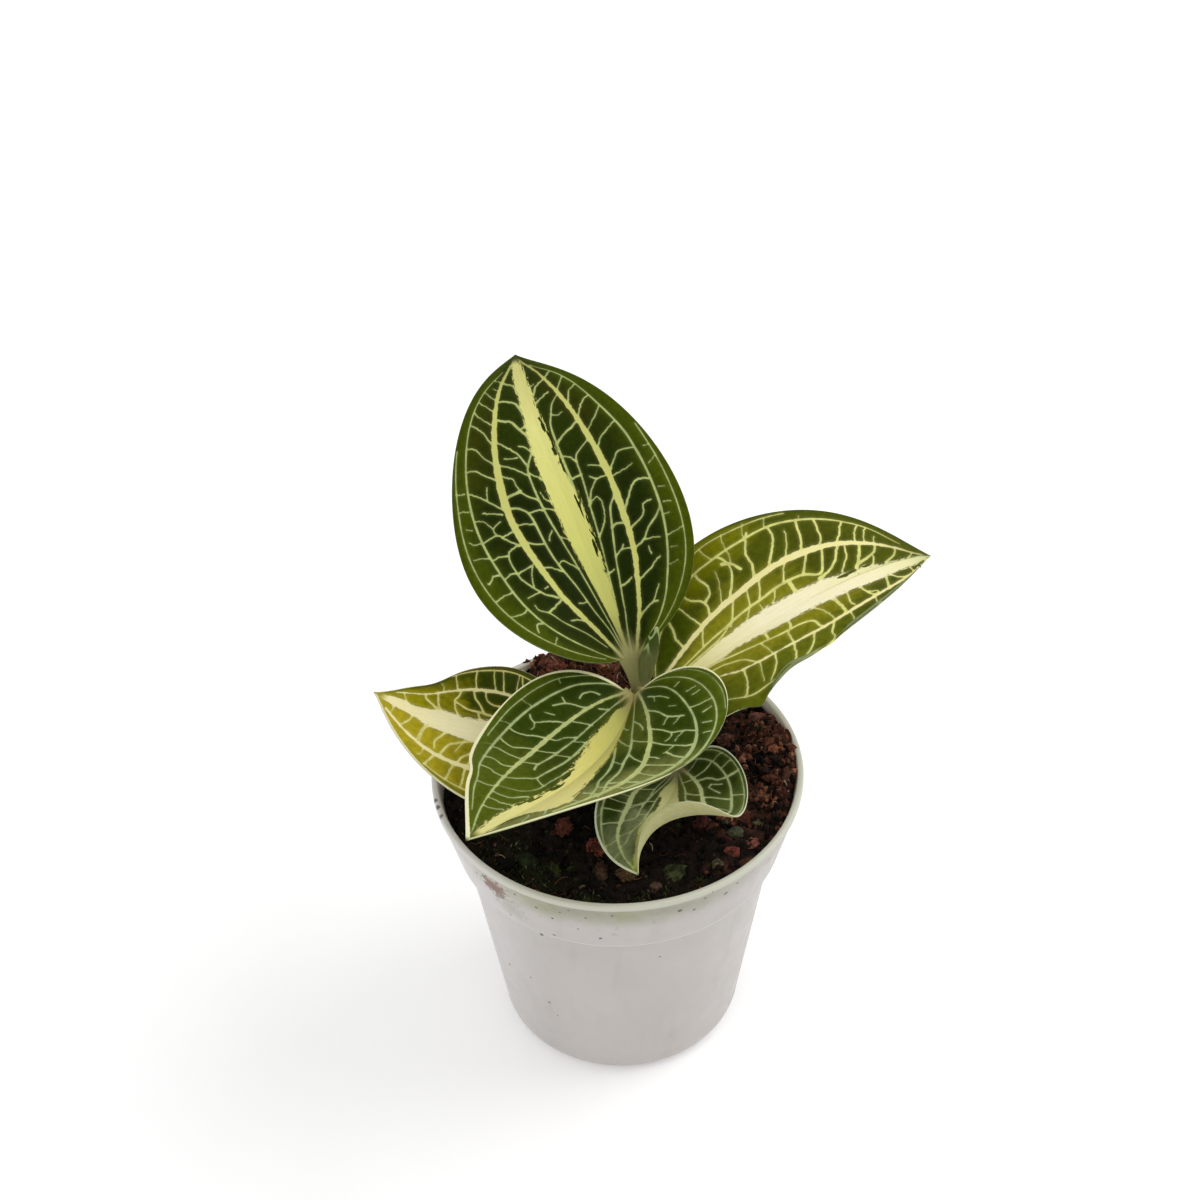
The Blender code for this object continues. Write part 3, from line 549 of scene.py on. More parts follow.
# A vein is its widest half-width in microns, then t and v of each of its points in thousandths,
# from base to tip or outwards. strong, long and cross are the veins beside the midrib, along the
# leaf and between those. strips holds the stretches of cross veins that no other leaf leaves in
# sight: the two v values, first and last t, how many, how far the outer end lies ahead of the
# inner one, and the share that end freely. band_left and band_right give the midrib band's edge
# as t and v in thousandths, feather how much that edge strays on the left and the right, and
# slits the side and the t range where dark slits break it. grid is the blade's columns and rows.
VEINS = {
    "leaf_top": dict(
        grid=(228, 366), seed=3, slot="leaf_dark",
        strong=[
            (740, 0, 550, 40, 450, 100, 400, 200, 385, 300, 370, 400, 375, 500, 395, 600, 410, 700, 435,
            800, 465, 860, 485, 910, 480, 960, 400, 995, 200), (660, 0, -550, 40, -460, 120, -410, 180,
            -380, 270, -370, 400, -355, 500, -365, 600, -385, 700, -410, 800, -455, 880, -490, 940, -500,
            995, -300)],
        long=[
            (240, 0, 250, 60, 200, 120, 220, 200, 220, 300, 245, 450, 250, 500, 305, 520, 380), (230, 0,
            140, 60, 120, 150, 115, 250, 120, 350, 135, 420, 150, 500, 165, 600, 180, 630, 165, 670, 110),
            (250, 0, 850, 60, 785, 100, 755, 200, 720, 300, 675, 360, 655, 420, 655, 500, 680, 600, 725,
            700, 780, 800, 830, 860, 820, 900, 760, 940, 620), (170, 50, 890, 200, 880, 300, 870, 400,
            860, 500, 870, 600, 890, 660, 920, 740, 960), (190, 50, 560, 100, 545, 130, 560, 170, 585,
            210, 590, 240, 630, 255, 620), (250, 0, -860, 40, -800, 80, -790, 120, -765, 170, -730, 220,
            -695, 300, -675, 400, -675, 500, -690, 600, -725, 650, -750, 750, -765, 800, -790, 850, -815,
            900, -790, 950, -600), (150, 60, -910, 200, -885, 300, -880, 400, -870, 500, -875, 600, -910,
            660, -950), (190, 100, -85, 160, -100, 250, -115, 350, -130, 450, -145, 550, -175, 600, -190,
            625, -215, 640, -270, 660, -370), (220, 0, -220, 50, -190, 100, -200, 150, -195, 250, -205,
            320, -225, 380, -250, 430, -280, 465, -340), (260, 500, -85, 620, -100, 680, -110, 740, -135,
            770, -190, 800, -270, 815, -360, 825, -450)],
        cross=[
            (180, 130, 420, 145, 470, 157, 520), (260, 205, 400, 208, 500, 215, 585), (220, 215, 420, 250,
            485, 300, 527, 340, 540, 400, 515, 406, 470, 402, 400), (200, 345, 540, 358, 590, 360, 650),
            (170, 262, 500, 280, 610), (170, 285, 500, 310, 455, 330, 400), (200, 330, 420, 340, 530),
            (200, 402, 530, 415, 580, 425, 650), (170, 255, 420, 258, 450), (220, 400, 410, 440, 475, 470,
            530, 482, 670), (200, 450, 420, 455, 500), (170, 475, 535, 495, 540, 500, 470), (150, 495,
            545, 530, 600, 550, 690), (180, 515, 440, 535, 510, 555, 600), (200, 525, 420, 570, 520, 605,
            620, 630, 740), (170, 583, 540, 600, 535, 617, 530), (220, 625, 440, 650, 530, 678, 660, 685,
            770), (200, 670, 440, 700, 550, 730, 660, 740, 790), (200, 730, 460, 770, 600, 785, 700, 795,
            820), (180, 785, 480, 800, 600, 825, 820), (170, 822, 490, 840, 650, 850, 810), (170, 855,
            500, 870, 680, 878, 800), (140, 882, 500, 888, 630), (160, 908, 490, 912, 700), (140, 182,
            790, 187, 870), (220, 222, 720, 235, 770, 229, 830), (180, 270, 700, 277, 760, 305, 860),
            (190, 325, 670, 343, 770, 355, 850), (220, 380, 660, 394, 720, 391, 770, 396, 800), (150, 435,
            660, 455, 740, 470, 820), (160, 485, 680, 500, 760, 515, 810), (130, 535, 740, 550, 810),
            (150, 585, 750, 595, 820, 600, 890), (180, 635, 790, 640, 860, 645, 920), (170, 155, 230, 158,
            270, 166, 310), (200, 260, 245, 290, 310, 305, 360), (190, 360, 250, 375, 310, 400, 360),
            (200, 430, 250, 450, 320, 460, 370), (180, 240, 120, 270, 170, 285, 200, 280, 245), (180, 360,
            210, 370, 200, 385, 165), (200, 460, 160, 470, 200, 473, 260), (150, 330, 80, 353, 125), (180,
            445, 90, 465, 150), (170, 475, 90, 500, 130, 525, 140), (190, 565, 100, 600, 170), (190, 665,
            110, 690, 160, 700, 210), (190, 500, 170, 550, 265, 600, 300, 615, 345, 635, 410), (340, 555,
            270, 555, 390), (200, 595, 180, 640, 300, 665, 420), (240, 625, 170, 680, 240, 710, 330, 735,
            430), (170, 665, 240, 670, 300, 676, 350), (330, 720, 100, 750, 175, 780, 250, 788, 340, 797,
            440), (240, 750, 170, 762, 100), (330, 800, 100, 835, 180, 846, 300, 850, 460), (300, 865,
            120, 893, 200, 900, 320, 905, 460), (260, 90, -450, 120, -550, 135, -610, 140, -660), (160,
            135, -605, 160, -610, 185, -620), (230, 185, -390, 220, -500, 250, -560, 265, -600), (240,
            285, -380, 310, -460, 350, -520, 380, -590, 420, -670), (170, 312, -470, 320, -550, 324,
            -610), (160, 270, -520, 280, -505, 292, -500), (210, 350, -380, 390, -500, 425, -530, 440,
            -610), (260, 410, -370, 460, -450, 490, -510, 505, -580, 505, -690), (170, 527, -390, 540,
            -500, 555, -600), (210, 545, -390, 580, -480, 600, -560, 600, -720), (230, 625, -400, 650,
            -480, 670, -600, 685, -740), (200, 685, -420, 710, -550, 740, -750), (220, 735, -430, 760,
            -550, 775, -650, 780, -770), (200, 785, -460, 810, -570, 820, -650, 825, -790), (200, 835,
            -480, 850, -600, 865, -790), (130, 250, -710, 270, -790), (120, 300, -710, 310, -780), (150,
            335, -690, 360, -800, 375, -870), (120, 398, -700, 405, -750), (160, 435, -720, 438, -760,
            440, -800), (140, 480, -730, 483, -800), (140, 550, -760, 560, -820, 572, -900), (120, 600,
            -830, 600, -900), (200, 220, -120, 228, -170), (240, 175, -200, 183, -270, 197, -320), (200,
            265, -210, 285, -270, 287, -360), (200, 285, -270, 300, -290), (260, 360, -240, 370, -280,
            370, -360), (180, 340, -130, 370, -180, 400, -215, 450, -235, 472, -215, 465, -180, 450,
            -145), (200, 450, -140, 500, -200, 530, -270, 535, -360), (180, 565, -360, 575, -310, 582,
            -260), (180, 530, -270, 545, -230), (260, 555, -100, 560, -180), (200, 605, -190, 625, -160,
            637, -110), (300, 680, -110, 700, -200, 710, -280, 725, -400), (170, 775, -200, 765, -260,
            769, -330), (240, 825, -100, 838, -250, 843, -350), (260, 850, -100, 870, -200, 880, -300,
            887, -450, 893, -600, 900, -770), (160, 880, -130, 885, -220)],
        strips=[],
        band_left=(0, 50, 80, 60, 200, 75, 300, 85, 500, 95, 600, 105, 700, 115, 800, 115, 870, 140, 930,
                   240, 1000, 350),
        band_right=(0, 50, 70, 70, 150, 95, 270, 95, 360, 95, 480, 95, 600, 85, 700, 80, 800, 80, 870,
                    110, 930, 170, 1000, 300),
        feather=(0.4, 0.55), slits=[(-1, 0.28, 0.78)]),
    "leaf_right": dict(
        grid=(180, 330), seed=11, slot="leaf_olive",
        strong=[
            (660, 0, 550, 40, 420, 80, 360, 130, 335, 200, 320, 280, 305, 360, 300, 450, 320, 550, 345,
            620, 365, 700, 395, 800, 425, 870, 430, 920, 400, 960, 300, 995, 150), (300, 0, -340, 100,
            -290, 160, -320, 200, -345, 280, -370, 360, -370, 450, -385, 550, -395, 620, -420, 680, -460,
            760, -540, 850, -680, 920, -800, 980, -900)],
        long=[
            (280, 0, 220, 80, 170, 150, 165, 220, 160, 300, 165, 380, 165, 450, 180, 550, 180, 600, 140,
            625, 155, 645, 230, 660, 300, 672, 370), (220, 0, 130, 90, 115, 140, 110, 200, 120, 240, 155),
            (260, 0, 850, 60, 780, 170, 720, 220, 700, 280, 700, 330, 685, 380, 665, 450, 665, 500, 680,
            550, 715, 600, 750, 650, 770, 700, 790, 770, 805, 850, 800, 920, 660), (130, 320, 840, 420,
            870, 500, 860, 560, 885, 640, 930), (280, 0, -140, 120, -100, 180, -130, 220, -155, 270, -185,
            310, -200, 350, -205, 380, -230, 395, -270, 405, -330, 420, -380), (250, 0, -220, 130, -180,
            170, -200, 200, -240, 220, -300, 240, -360), (200, 0, -750, 120, -640, 180, -665, 225, -685,
            260, -675, 300, -710, 360, -780, 450, -830, 550, -860)],
        cross=[
            (300, 113, 350, 118, 440, 125, 520, 145, 590, 172, 710), (220, 185, 330, 190, 440, 196, 530,
            213, 690), (280, 220, 320, 240, 390, 248, 460, 238, 560, 241, 620, 250, 700), (300, 250, 440,
            280, 460, 300, 530, 305, 600, 320, 680), (140, 275, 330, 300, 400, 330, 480, 352, 560), (280,
            303, 310, 350, 400, 380, 470, 396, 550, 400, 660), (340, 384, 570, 400, 520, 404, 440), (160,
            385, 670, 392, 760, 410, 870), (130, 400, 520, 425, 610, 435, 670, 460, 790, 477, 870), (300,
            410, 320, 440, 420, 455, 520, 480, 600, 500, 670, 520, 740), (300, 475, 340, 510, 420, 540,
            500, 565, 600, 574, 720), (170, 545, 360, 575, 460, 600, 580, 605, 630), (300, 605, 370, 630,
            500, 640, 600, 656, 770), (280, 670, 390, 690, 500, 695, 600, 700, 780), (260, 725, 410, 750,
            550, 760, 680, 770, 800), (220, 785, 430, 795, 600, 810, 800), (200, 815, 430, 820, 600, 830,
            790), (170, 840, 430, 850, 620), (130, 500, 690, 520, 800, 540, 900), (120, 570, 740, 590,
            880), (100, 665, 790, 670, 850), (220, 145, 170, 160, 240, 182, 310), (260, 240, 140, 260,
            180, 305, 290), (200, 290, 100, 320, 150, 340, 210, 362, 290), (240, 370, 170, 390, 220, 420,
            300), (200, 400, 100, 420, 135, 435, 170), (220, 475, 180, 500, 250, 530, 330), (500, 493, 80,
            495, 180), (280, 555, 180, 580, 240, 600, 300, 620, 360), (320, 600, 100, 650, 140, 690, 220,
            710, 310, 730, 400), (220, 690, 90, 715, 170, 735, 240, 745, 360), (380, 745, 80, 770, 190,
            785, 300, 797, 420), (300, 760, 120, 800, 180, 825, 250, 838, 340, 845, 430), (250, 800, 50,
            815, 120, 820, 190), (270, 850, 40, 880, 130, 895, 250, 902, 420), (150, 355, 90, 358, 140),
            (200, 930, 20, 945, 200, 950, 320), (350, 265, -80, 270, -180), (200, 250, -180, 265, -270,
            280, -360), (350, 330, -90, 330, -200), (260, 320, -200, 325, -280, 337, -370), (220, 395,
            -100, 420, -200, 440, -300, 452, -380), (420, 455, -130, 470, -240, 487, -380), (250, 498,
            -130, 500, -270, 513, -340), (300, 540, -130, 555, -250, 580, -360, 600, -400), (200, 560,
            -270, 590, -330, 600, -370), (320, 640, -180, 640, -300, 643, -430), (220, 660, -200, 690,
            -330, 720, -430, 750, -520), (200, 770, -300, 785, -500, 790, -600), (280, 200, -350, 215,
            -480, 225, -580, 235, -680), (190, 245, -360, 260, -500, 280, -620), (250, 285, -370, 300,
            -500, 315, -700), (270, 335, -370, 355, -520, 370, -620, 380, -780), (250, 390, -370, 400,
            -500, 405, -660), (250, 450, -390, 455, -530, 480, -650, 490, -830), (200, 500, -400, 520,
            -530, 540, -680), (180, 585, -400, 600, -550, 620, -750)],
        strips=[(-0.6, -0.85, 0.64, 0.9, 4, 0.02, 0.3)],
        band_left=(0, 50, 100, 90, 200, 100, 300, 95, 400, 90, 500, 85, 600, 85, 680, 70, 740, 50, 780,
                   90, 830, 30, 900, 30, 970, 60, 1000, 100),
        band_right=(0, 50, 100, 80, 150, 90, 190, 65, 250, 80, 300, 100, 400, 110, 450, 130, 500, 140,
                    550, 155, 600, 185, 650, 200, 700, 210, 750, 250, 800, 310, 850, 360, 920, 420, 1000,
                    500),
        feather=(0.36, 0.42), slits=[(1, 0.66, 0.8)]),
    "leaf_left": dict(
        grid=(150, 250), seed=23, slot="leaf_olive",
        strong=[
            (550, 0, 600, 50, 480, 200, 420, 400, 400, 550, 410, 650, 430, 700, 470, 750, 520, 800, 580,
            850, 630, 900, 680, 950, 740), (420, 0, -600, 50, -480, 200, -420, 350, -400, 470, -400, 550,
            -425, 650, -465, 720, -500, 800, -530, 870, -570, 910, -640, 950, -760)],
        long=[
            (200, 30, -840, 200, -720, 350, -720, 450, -760, 550, -810, 620, -835, 700, -880, 780, -930),
            (300, 30, -200, 300, -170, 500, -155, 570, -150, 630, -175, 690, -200, 730, -260, 757, -330,
            745, -400, 740, -500), (200, 30, 840, 300, 700, 500, 720, 650, 770, 720, 830, 790, 880), (220,
            30, 200, 300, 180, 500, 190, 600, 230, 640, 320, 660, 420)],
        cross=[
            (250, 530, -260, 570, -270, 610, -330, 630, -450), (300, 610, -170, 640, -270, 670, -350, 685,
            -470), (300, 620, -80, 640, -170), (260, 730, -100, 750, -220, 757, -320), (300, 800, -120,
            815, -250, 822, -400, 825, -540), (320, 810, -140, 840, -260, 860, -400, 867, -560), (200,
            920, -200, 925, -400, 930, -660), (170, 455, -400, 480, -620, 497, -770), (220, 530, -420,
            555, -600, 585, -820), (230, 575, -440, 600, -580, 615, -720, 625, -840), (260, 675, -480,
            690, -650, 695, -870), (230, 755, -510, 765, -700, 770, -920), (160, 805, -530, 810, -700,
            815, -840), (280, 645, 270, 680, 350, 700, 470), (300, 640, 130, 700, 210, 740, 300, 755, 420,
            765, 540), (150, 680, 170, 700, 270, 712, 340), (260, 760, 150, 780, 270, 790, 380, 785, 470),
            (420, 830, 180, 840, 350, 835, 600), (270, 885, 180, 890, 400, 897, 660), (200, 945, 280, 940,
            500, 935, 720), (260, 665, 450, 675, 650, 680, 790), (270, 708, 500, 720, 650, 725, 830),
            (270, 775, 560, 785, 750, 787, 880), (150, 812, 600, 810, 750, 815, 830)],
        strips=[(0.19, 0.42, 0.12, 0.56, 6, 0.05, 0.2), (0.41, 0.71, 0.08, 0.58, 7, 0.04, 0.15), (-0.17,
                -0.41, 0.12, 0.48, 5, 0.05, 0.2), (-0.41, -0.74, 0.08, 0.4, 5, 0.04, 0.1)],
        band_left=(0, 40, 200, 100, 500, 130, 620, 140, 700, 155, 780, 170, 840, 210, 880, 170, 920, 200,
                   960, 300, 1000, 450),
        band_right=(0, 40, 200, 90, 500, 110, 650, 90, 750, 110, 800, 155, 840, 130, 870, 110, 900, 150,
                    950, 350, 1000, 550),
        feather=(0.28, 0.34), slits=[(1, 0.5, 0.7)]),
    "leaf_front": dict(
        grid=(200, 320), seed=31, slot="leaf_mid",
        strong=[
            (520, 0, 500, 30, 420, 60, 385, 100, 360, 150, 345, 200, 335, 270, 345, 330, 355, 400, 375,
            500, 430, 550, 465, 600, 510, 670, 590, 750, 700, 840, 800), (500, 0, -600, 30, -500, 70,
            -455, 150, -400, 200, -375, 270, -350, 350, -335, 450, -330, 500, -335, 570, -345, 650, -375,
            700, -400, 750, -430, 800, -470, 850, -525, 900, -570, 950, -600, 990, -500)],
        long=[
            (300, 0, 240, 40, 200, 130, 205, 200, 215, 270, 235, 350, 255, 430, 275, 500, 315, 550, 350,
            600, 385, 650, 440, 700, 560, 740, 720), (320, 240, 120, 330, 165, 400, 195, 470, 230, 520,
            255, 580, 290, 630, 335, 680, 430, 730, 560, 770, 720), (320, 0, 780, 30, 730, 80, 710, 120,
            680, 170, 645, 220, 630, 300, 630, 380, 645, 450, 665, 520, 690, 600, 740, 700, 800), (220,
            20, 900, 100, 860, 150, 850, 220, 830, 300, 815, 360, 800, 440, 785, 550, 820), (120, 60, 965,
            180, 950, 280, 940, 360, 930), (240, 0, -340, 40, -300, 120, -250, 200, -225, 300, -205, 400,
            -205, 500, -215, 570, -235, 620, -255, 655, -250), (260, 260, -130, 300, -135, 400, -125, 500,
            -130, 580, -150, 650, -175, 700, -200, 730, -270, 755, -340, 775, -440), (200, 550, -75, 620,
            -85, 680, -100, 740, -115, 780, -170, 805, -270, 825, -480), (320, 0, -920, 30, -870, 60,
            -830, 100, -780, 150, -745, 200, -700, 250, -670, 300, -650, 400, -635, 500, -640, 580, -665,
            650, -700, 720, -750, 780, -800, 860, -830, 930, -800), (160, 80, -960, 150, -890, 200, -870,
            270, -830, 350, -800, 420, -795, 500, -790, 580, -810)],
        cross=[
            (260, 110, 360, 150, 430, 200, 480, 232, 570), (200, 200, 475, 210, 450, 226, 430), (200, 60,
            500, 80, 530, 105, 570, 133, 585), (150, 80, 530, 100, 480), (150, 160, 530, 177, 570), (180,
            225, 550, 245, 490), (240, 220, 345, 250, 410, 285, 470, 300, 550, 330, 635), (200, 285, 470,
            310, 465, 326, 440), (160, 300, 550, 320, 510, 342, 500), (240, 300, 350, 340, 420, 360, 480,
            390, 580, 400, 645), (150, 375, 500, 410, 470), (260, 410, 490, 450, 570, 480, 670), (200,
            420, 380, 430, 430, 447, 475), (200, 490, 430, 510, 550, 530, 690), (180, 560, 480, 590, 600,
            610, 730), (180, 120, 730, 125, 790), (180, 165, 720, 182, 800), (170, 190, 720, 202, 790),
            (190, 220, 640, 240, 730, 260, 810), (180, 270, 700, 281, 780), (180, 310, 680, 333, 755),
            (150, 360, 690, 377, 760), (200, 120, 205, 150, 260, 180, 285, 205, 295), (200, 250, 235, 280,
            290, 300, 345), (200, 360, 260, 400, 300, 440, 355, 470, 410), (160, 400, 200, 430, 240, 460,
            290), (180, 100, 60, 130, 120, 152, 170), (190, 180, 100, 230, 160, 290, 230), (260, 100,
            -270, 110, -300, 123, -340), (220, 200, -220, 220, -280, 242, -330), (220, 305, -210, 350,
            -260, 390, -280, 412, -330), (220, 465, -210, 500, -260, 530, -340), (270, 610, -255, 630,
            -310, 648, -370), (180, 300, -135, 340, -200), (180, 450, -130, 490, -210), (220, 690, -190,
            705, -170, 715, -110), (250, 150, -400, 170, -440, 190, -500, 215, -540, 256, -560), (220,
            210, -540, 209, -610), (240, 90, -560, 110, -620, 140, -600, 156, -550), (260, 270, -350, 300,
            -410, 340, -460, 373, -500, 372, -540, 360, -590), (150, 375, -500, 400, -470, 420, -475),
            (200, 280, -470, 302, -530), (300, 410, -335, 440, -410, 470, -480, 485, -570, 480, -640),
            (280, 520, -340, 550, -410, 580, -490, 575, -580, 560, -650), (270, 630, -370, 637, -500, 630,
            -600, 635, -690), (280, 700, -400, 717, -500, 705, -620, 710, -740), (260, 775, -450, 775,
            -560, 765, -630, 765, -780), (240, 830, -500, 840, -620, 838, -810), (240, 800, -120, 835,
            -220, 850, -330, 855, -520), (200, 860, -150, 875, -300, 880, -530), (200, 890, -200, 905,
            -350, 910, -560), (130, 200, -800, 205, -860), (130, 330, -660, 350, -790), (120, 460, -650,
            480, -780), (120, 620, -700, 630, -800)],
        strips=[(0.45, 0.8, 0.64, 0.88, 6, 0.02, 0.1)],
        band_left=(0, 30, 50, 50, 100, 70, 200, 100, 300, 125, 400, 140, 500, 165, 600, 230, 650, 280,
                   700, 350, 750, 450, 790, 600, 820, 660, 845, 550, 870, 260, 900, 180, 930, 300, 960,
                   600, 1000, 900),
        band_right=(0, 50, 50, 130, 80, 200, 150, 155, 250, 145, 300, 120, 400, 100, 480, 85, 600, 55,
                    700, 45, 760, 70, 820, 100, 870, 150, 920, 200, 970, 300, 1000, 500),
        feather=(0.8, 0.62), slits=[(-1, 0.45, 0.85), (1, 0.62, 0.97)]),
    "leaf_low": dict(
        grid=(150, 230), seed=41, slot="leaf_mid",
        strong=[
            (460, 0, 400, 50, 330, 100, 325, 200, 335, 280, 335, 350, 340, 420, 370, 550, 420, 700, 450,
            850, 450, 980, 300), (500, 0, -400, 100, -440, 180, -455, 250, -440, 300, -415, 400, -375,
            500, -345, 600, -350, 680, -375, 750, -420, 800, -455, 870, -480, 940, -480, 990, -300)],
        long=[
            (250, 0, 100, 100, 130, 200, 165, 300, 175, 370, 200, 500, 240, 650, 270), (280, 0, 800, 80,
            760, 150, 730, 220, 690, 300, 665, 380, 650, 450, 675, 520, 720, 620, 760, 800, 780), (130,
            80, 940, 170, 920, 270, 900, 360, 870, 500, 880, 700, 920), (200, 0, -180, 150, -210, 300,
            -200, 400, -195, 500, -190, 600, -185, 640, -220, 670, -300, 690, -380), (180, 200, -145, 300,
            -125, 400, -105, 500, -95, 650, -100, 720, -150, 770, -250, 800, -450), (200, 0, -300, 100,
            -300, 200, -260, 300, -215, 360, -200), (260, 0, -860, 200, -800, 400, -760, 580, -750, 650,
            -770, 730, -790, 800, -840, 860, -920), (120, 100, -940, 300, -900, 550, -900, 700, -940)],
        cross=[
            (200, 130, 330, 140, 500, 155, 730), (280, 165, 340, 190, 480, 240, 580, 270, 750, 295, 890),
            (200, 240, 470, 250, 430, 290, 470, 322, 520), (170, 250, 500, 272, 580), (300, 330, 340, 350,
            450, 375, 550, 390, 650), (130, 160, 730, 180, 850, 205, 920), (140, 210, 700, 230, 830, 250,
            900), (130, 365, 660, 380, 780, 395, 870), (150, 70, 360, 75, 550, 80, 750), (250, 240, 170,
            280, 250, 300, 330), (300, 350, 200, 375, 260, 400, 350), (200, 120, 140, 130, 220, 140, 330),
            (280, 600, -350, 615, -520, 637, -760), (270, 700, -390, 720, -600, 735, -790), (240, 500,
            -350, 520, -500, 540, -750), (220, 400, -380, 425, -550, 440, -760), (200, 300, -420, 320,
            -600, 340, -770), (200, 200, -450, 220, -620, 230, -790), (170, 810, -460, 830, -600, 840,
            -870), (150, 880, -480, 890, -700, 900, -880), (200, 350, -120, 390, -190, 470, -260, 520,
            -350), (250, 200, -270, 230, -340, 260, -430), (180, 440, -200, 500, -270, 580, -350), (180,
            740, -170, 830, -280, 860, -480), (150, 550, -100, 580, -180), (140, 580, -760, 600, -900),
            (140, 680, -780, 700, -930), (140, 360, -770, 380, -900)],
        strips=[(0.42, 0.72, 0.46, 0.9, 6, 0.02, 0.1), (0.2, 0.42, 0.46, 0.84, 4, 0.03, 0.1)],
        band_left=(0, 30, 100, 50, 200, 80, 300, 110, 360, 130, 500, 140, 700, 140, 850, 120, 1000, 300),
        band_right=(0, 50, 80, 110, 150, 160, 200, 150, 250, 130, 300, 80, 360, 60, 450, 45, 600, 70, 700,
                    90, 800, 70, 900, 60, 1000, 300),
        feather=(0.2, 0.25), slits=[]),
}


def draw_vein(field, shape, vs, ts, line, half):
    """Lowers the field to the distance, in mm, from a vein, less its half-width."""
    px, py = outline(shape, line[:, 1], line[:, 0])
    own = np.full_like(field, FIELD_FAR)
    for i in range(len(px) - 1):
        t_low, t_high = sorted((line[i, 0], line[i + 1, 0]))
        v_low, v_high = sorted((line[i, 1], line[i + 1, 1]))
        middle = min(max((t_low + t_high) / 2, 0.02), 0.98)
        wide = max(abs(outline(shape, 1.0, middle)[1]), abs(outline(shape, -1.0, middle)[1]), 0.6)
        room = FIELD_FAR / wide
        a, b = np.searchsorted(vs, (v_low - room, v_high + room))
        c, d = np.searchsorted(ts, (t_low - 0.05, t_high + 0.05))
        if a >= b or c >= d:
            continue
        gx, gy = outline(shape, vs[None, a:b], ts[c:d, None])
        ex, ey = px[i + 1] - px[i], py[i + 1] - py[i]
        share = ((gx - px[i]) * ex + (gy - py[i]) * ey) / (ex * ex + ey * ey + 1e-12)
        share = np.clip(share, 0, 1)
        gap = np.hypot(gx - px[i] - share * ex, gy - py[i] - share * ey)
        gap -= half[i] + share * (half[i + 1] - half[i])
        window = own[c:d, a:b]
        np.minimum(window, gap, out=window)
    near = own < FIELD_FAR - WEB
    blend = np.clip(0.5 + 0.5 * (field - own) / WEB, 0, 1)
    joined = field * (1 - blend) + own * blend - WEB * blend * (1 - blend)
    field[near] = np.minimum(joined, np.minimum(field, own))[near]


def pairs(values):
    """(t, v) points from a flat row of thousandths."""
    return np.reshape(values, (-1, 2)) / 1000


def vein_points(vein):
    """A listed vein's half width in mm, and its (t, v) points."""
    return vein[0] / 1000, pairs(vein[1:])


def long_vein(field, shape, vs, ts, vein):
    """A vein along the leaf, thinner towards both ends and most of all towards the tip."""
    half, points = vein_points(vein)
    line = through(points, 8)
    t = line[:, 0]
    size = half * (0.34 + 0.56 * np.sin(np.pi * np.clip(t, 0, 1)) ** 0.7)
    size = size * (1 - 0.40 * np.clip((t - 0.6) / 0.4, 0, 1))
    size = size * (1 + 0.16 * noise(np.stack([t * 45, 0 * t, 0 * t + points[0][1] * 9], -1), 8))
    draw_vein(field, shape, vs, ts, line, size)


def cross_vein(field, shape, vs, ts, half, points, rng):
    """A short, slightly shaky vein, thickest where it leaves the vein that it grows from."""
    line = through(points, 5)
    line[1:-1] += rng.uniform(-1, 1, (len(line) - 2, 2)) * (0.0012, 0.003)
    along = np.linspace(0, 1, len(line))
    size = half * (0.76 + 0.28 * np.exp(-along / 0.12))
    size *= 1 + 0.14 * noise(np.stack([along * 5, 0 * along + points[0][0] * 70, 0 * along], -1), 9)
    draw_vein(field, shape, vs, ts, line, size)


def strip_veins(strip, rng):
    """Cross veins for a stretch out of the photo's reach, each as its half-width and points."""
    inner, outer, first, last, count, slant, free = strip
    gap = (last - first) / max(count - 1, 1)
    veins = []
    for k in range(count):
        t = first + gap * k + rng.uniform(-0.22, 0.22) * gap
        lean = slant * rng.uniform(0.6, 1.5)
        reach = 1.0 if rng.random() > free else rng.uniform(0.4, 0.75)
        bend = rng.uniform(0.9, 1.8)
        points = [(t + lean * u ** bend + rng.uniform(-0.004, 0.004), inner + (outer - inner) * u)
                  for u in np.linspace(0, reach, 4)]
        veins.append((rng.uniform(0.17, 0.27), points))
    return veins


def vein_fields(plan, shape, vs, ts):
    """Each grid point's distance, in mm, from the thin veins and from the strong ones."""
    rng = np.random.default_rng(plan["seed"])
    thin = np.full((len(ts), len(vs)), FIELD_FAR)
    strong = thin.copy()
    for vein in plan["strong"]:
        long_vein(strong, shape, vs, ts, vein)
    for vein in plan["long"]:
        long_vein(thin, shape, vs, ts, vein)
    veins = [vein_points(vein) for vein in plan["cross"]]
    veins += [vein for strip in plan["strips"] for vein in strip_veins(strip, rng)]
    for half, points in veins:
        cross_vein(thin, shape, vs, ts, half, points, rng)
    return thin, strong


UNDERSIDE_COLUMNS = 14
# How much of the petiole's colour the blade's foot has, and how far from it that fades, in mm.
STALK_SHARE = 0.72
STALK_REACH = 3.4


def normals_of(grid):
    """Unit normals out of the upper face of a grid of points, rows by columns."""
    out = np.cross(np.gradient(grid, axis=0), np.gradient(grid, axis=1))
    return out / np.maximum(np.linalg.norm(out, axis=-1, keepdims=True), 1e-9)


def underside_columns(columns):
    """The few columns of the upper face that the underside shares."""
    stride = max(columns // UNDERSIDE_COLUMNS, 1)
    picks = list(range(0, columns, stride))
    if columns - picks[-1] < stride // 2:
        picks[-1] = columns
    else:
        picks.append(columns)
    return np.array(picks)


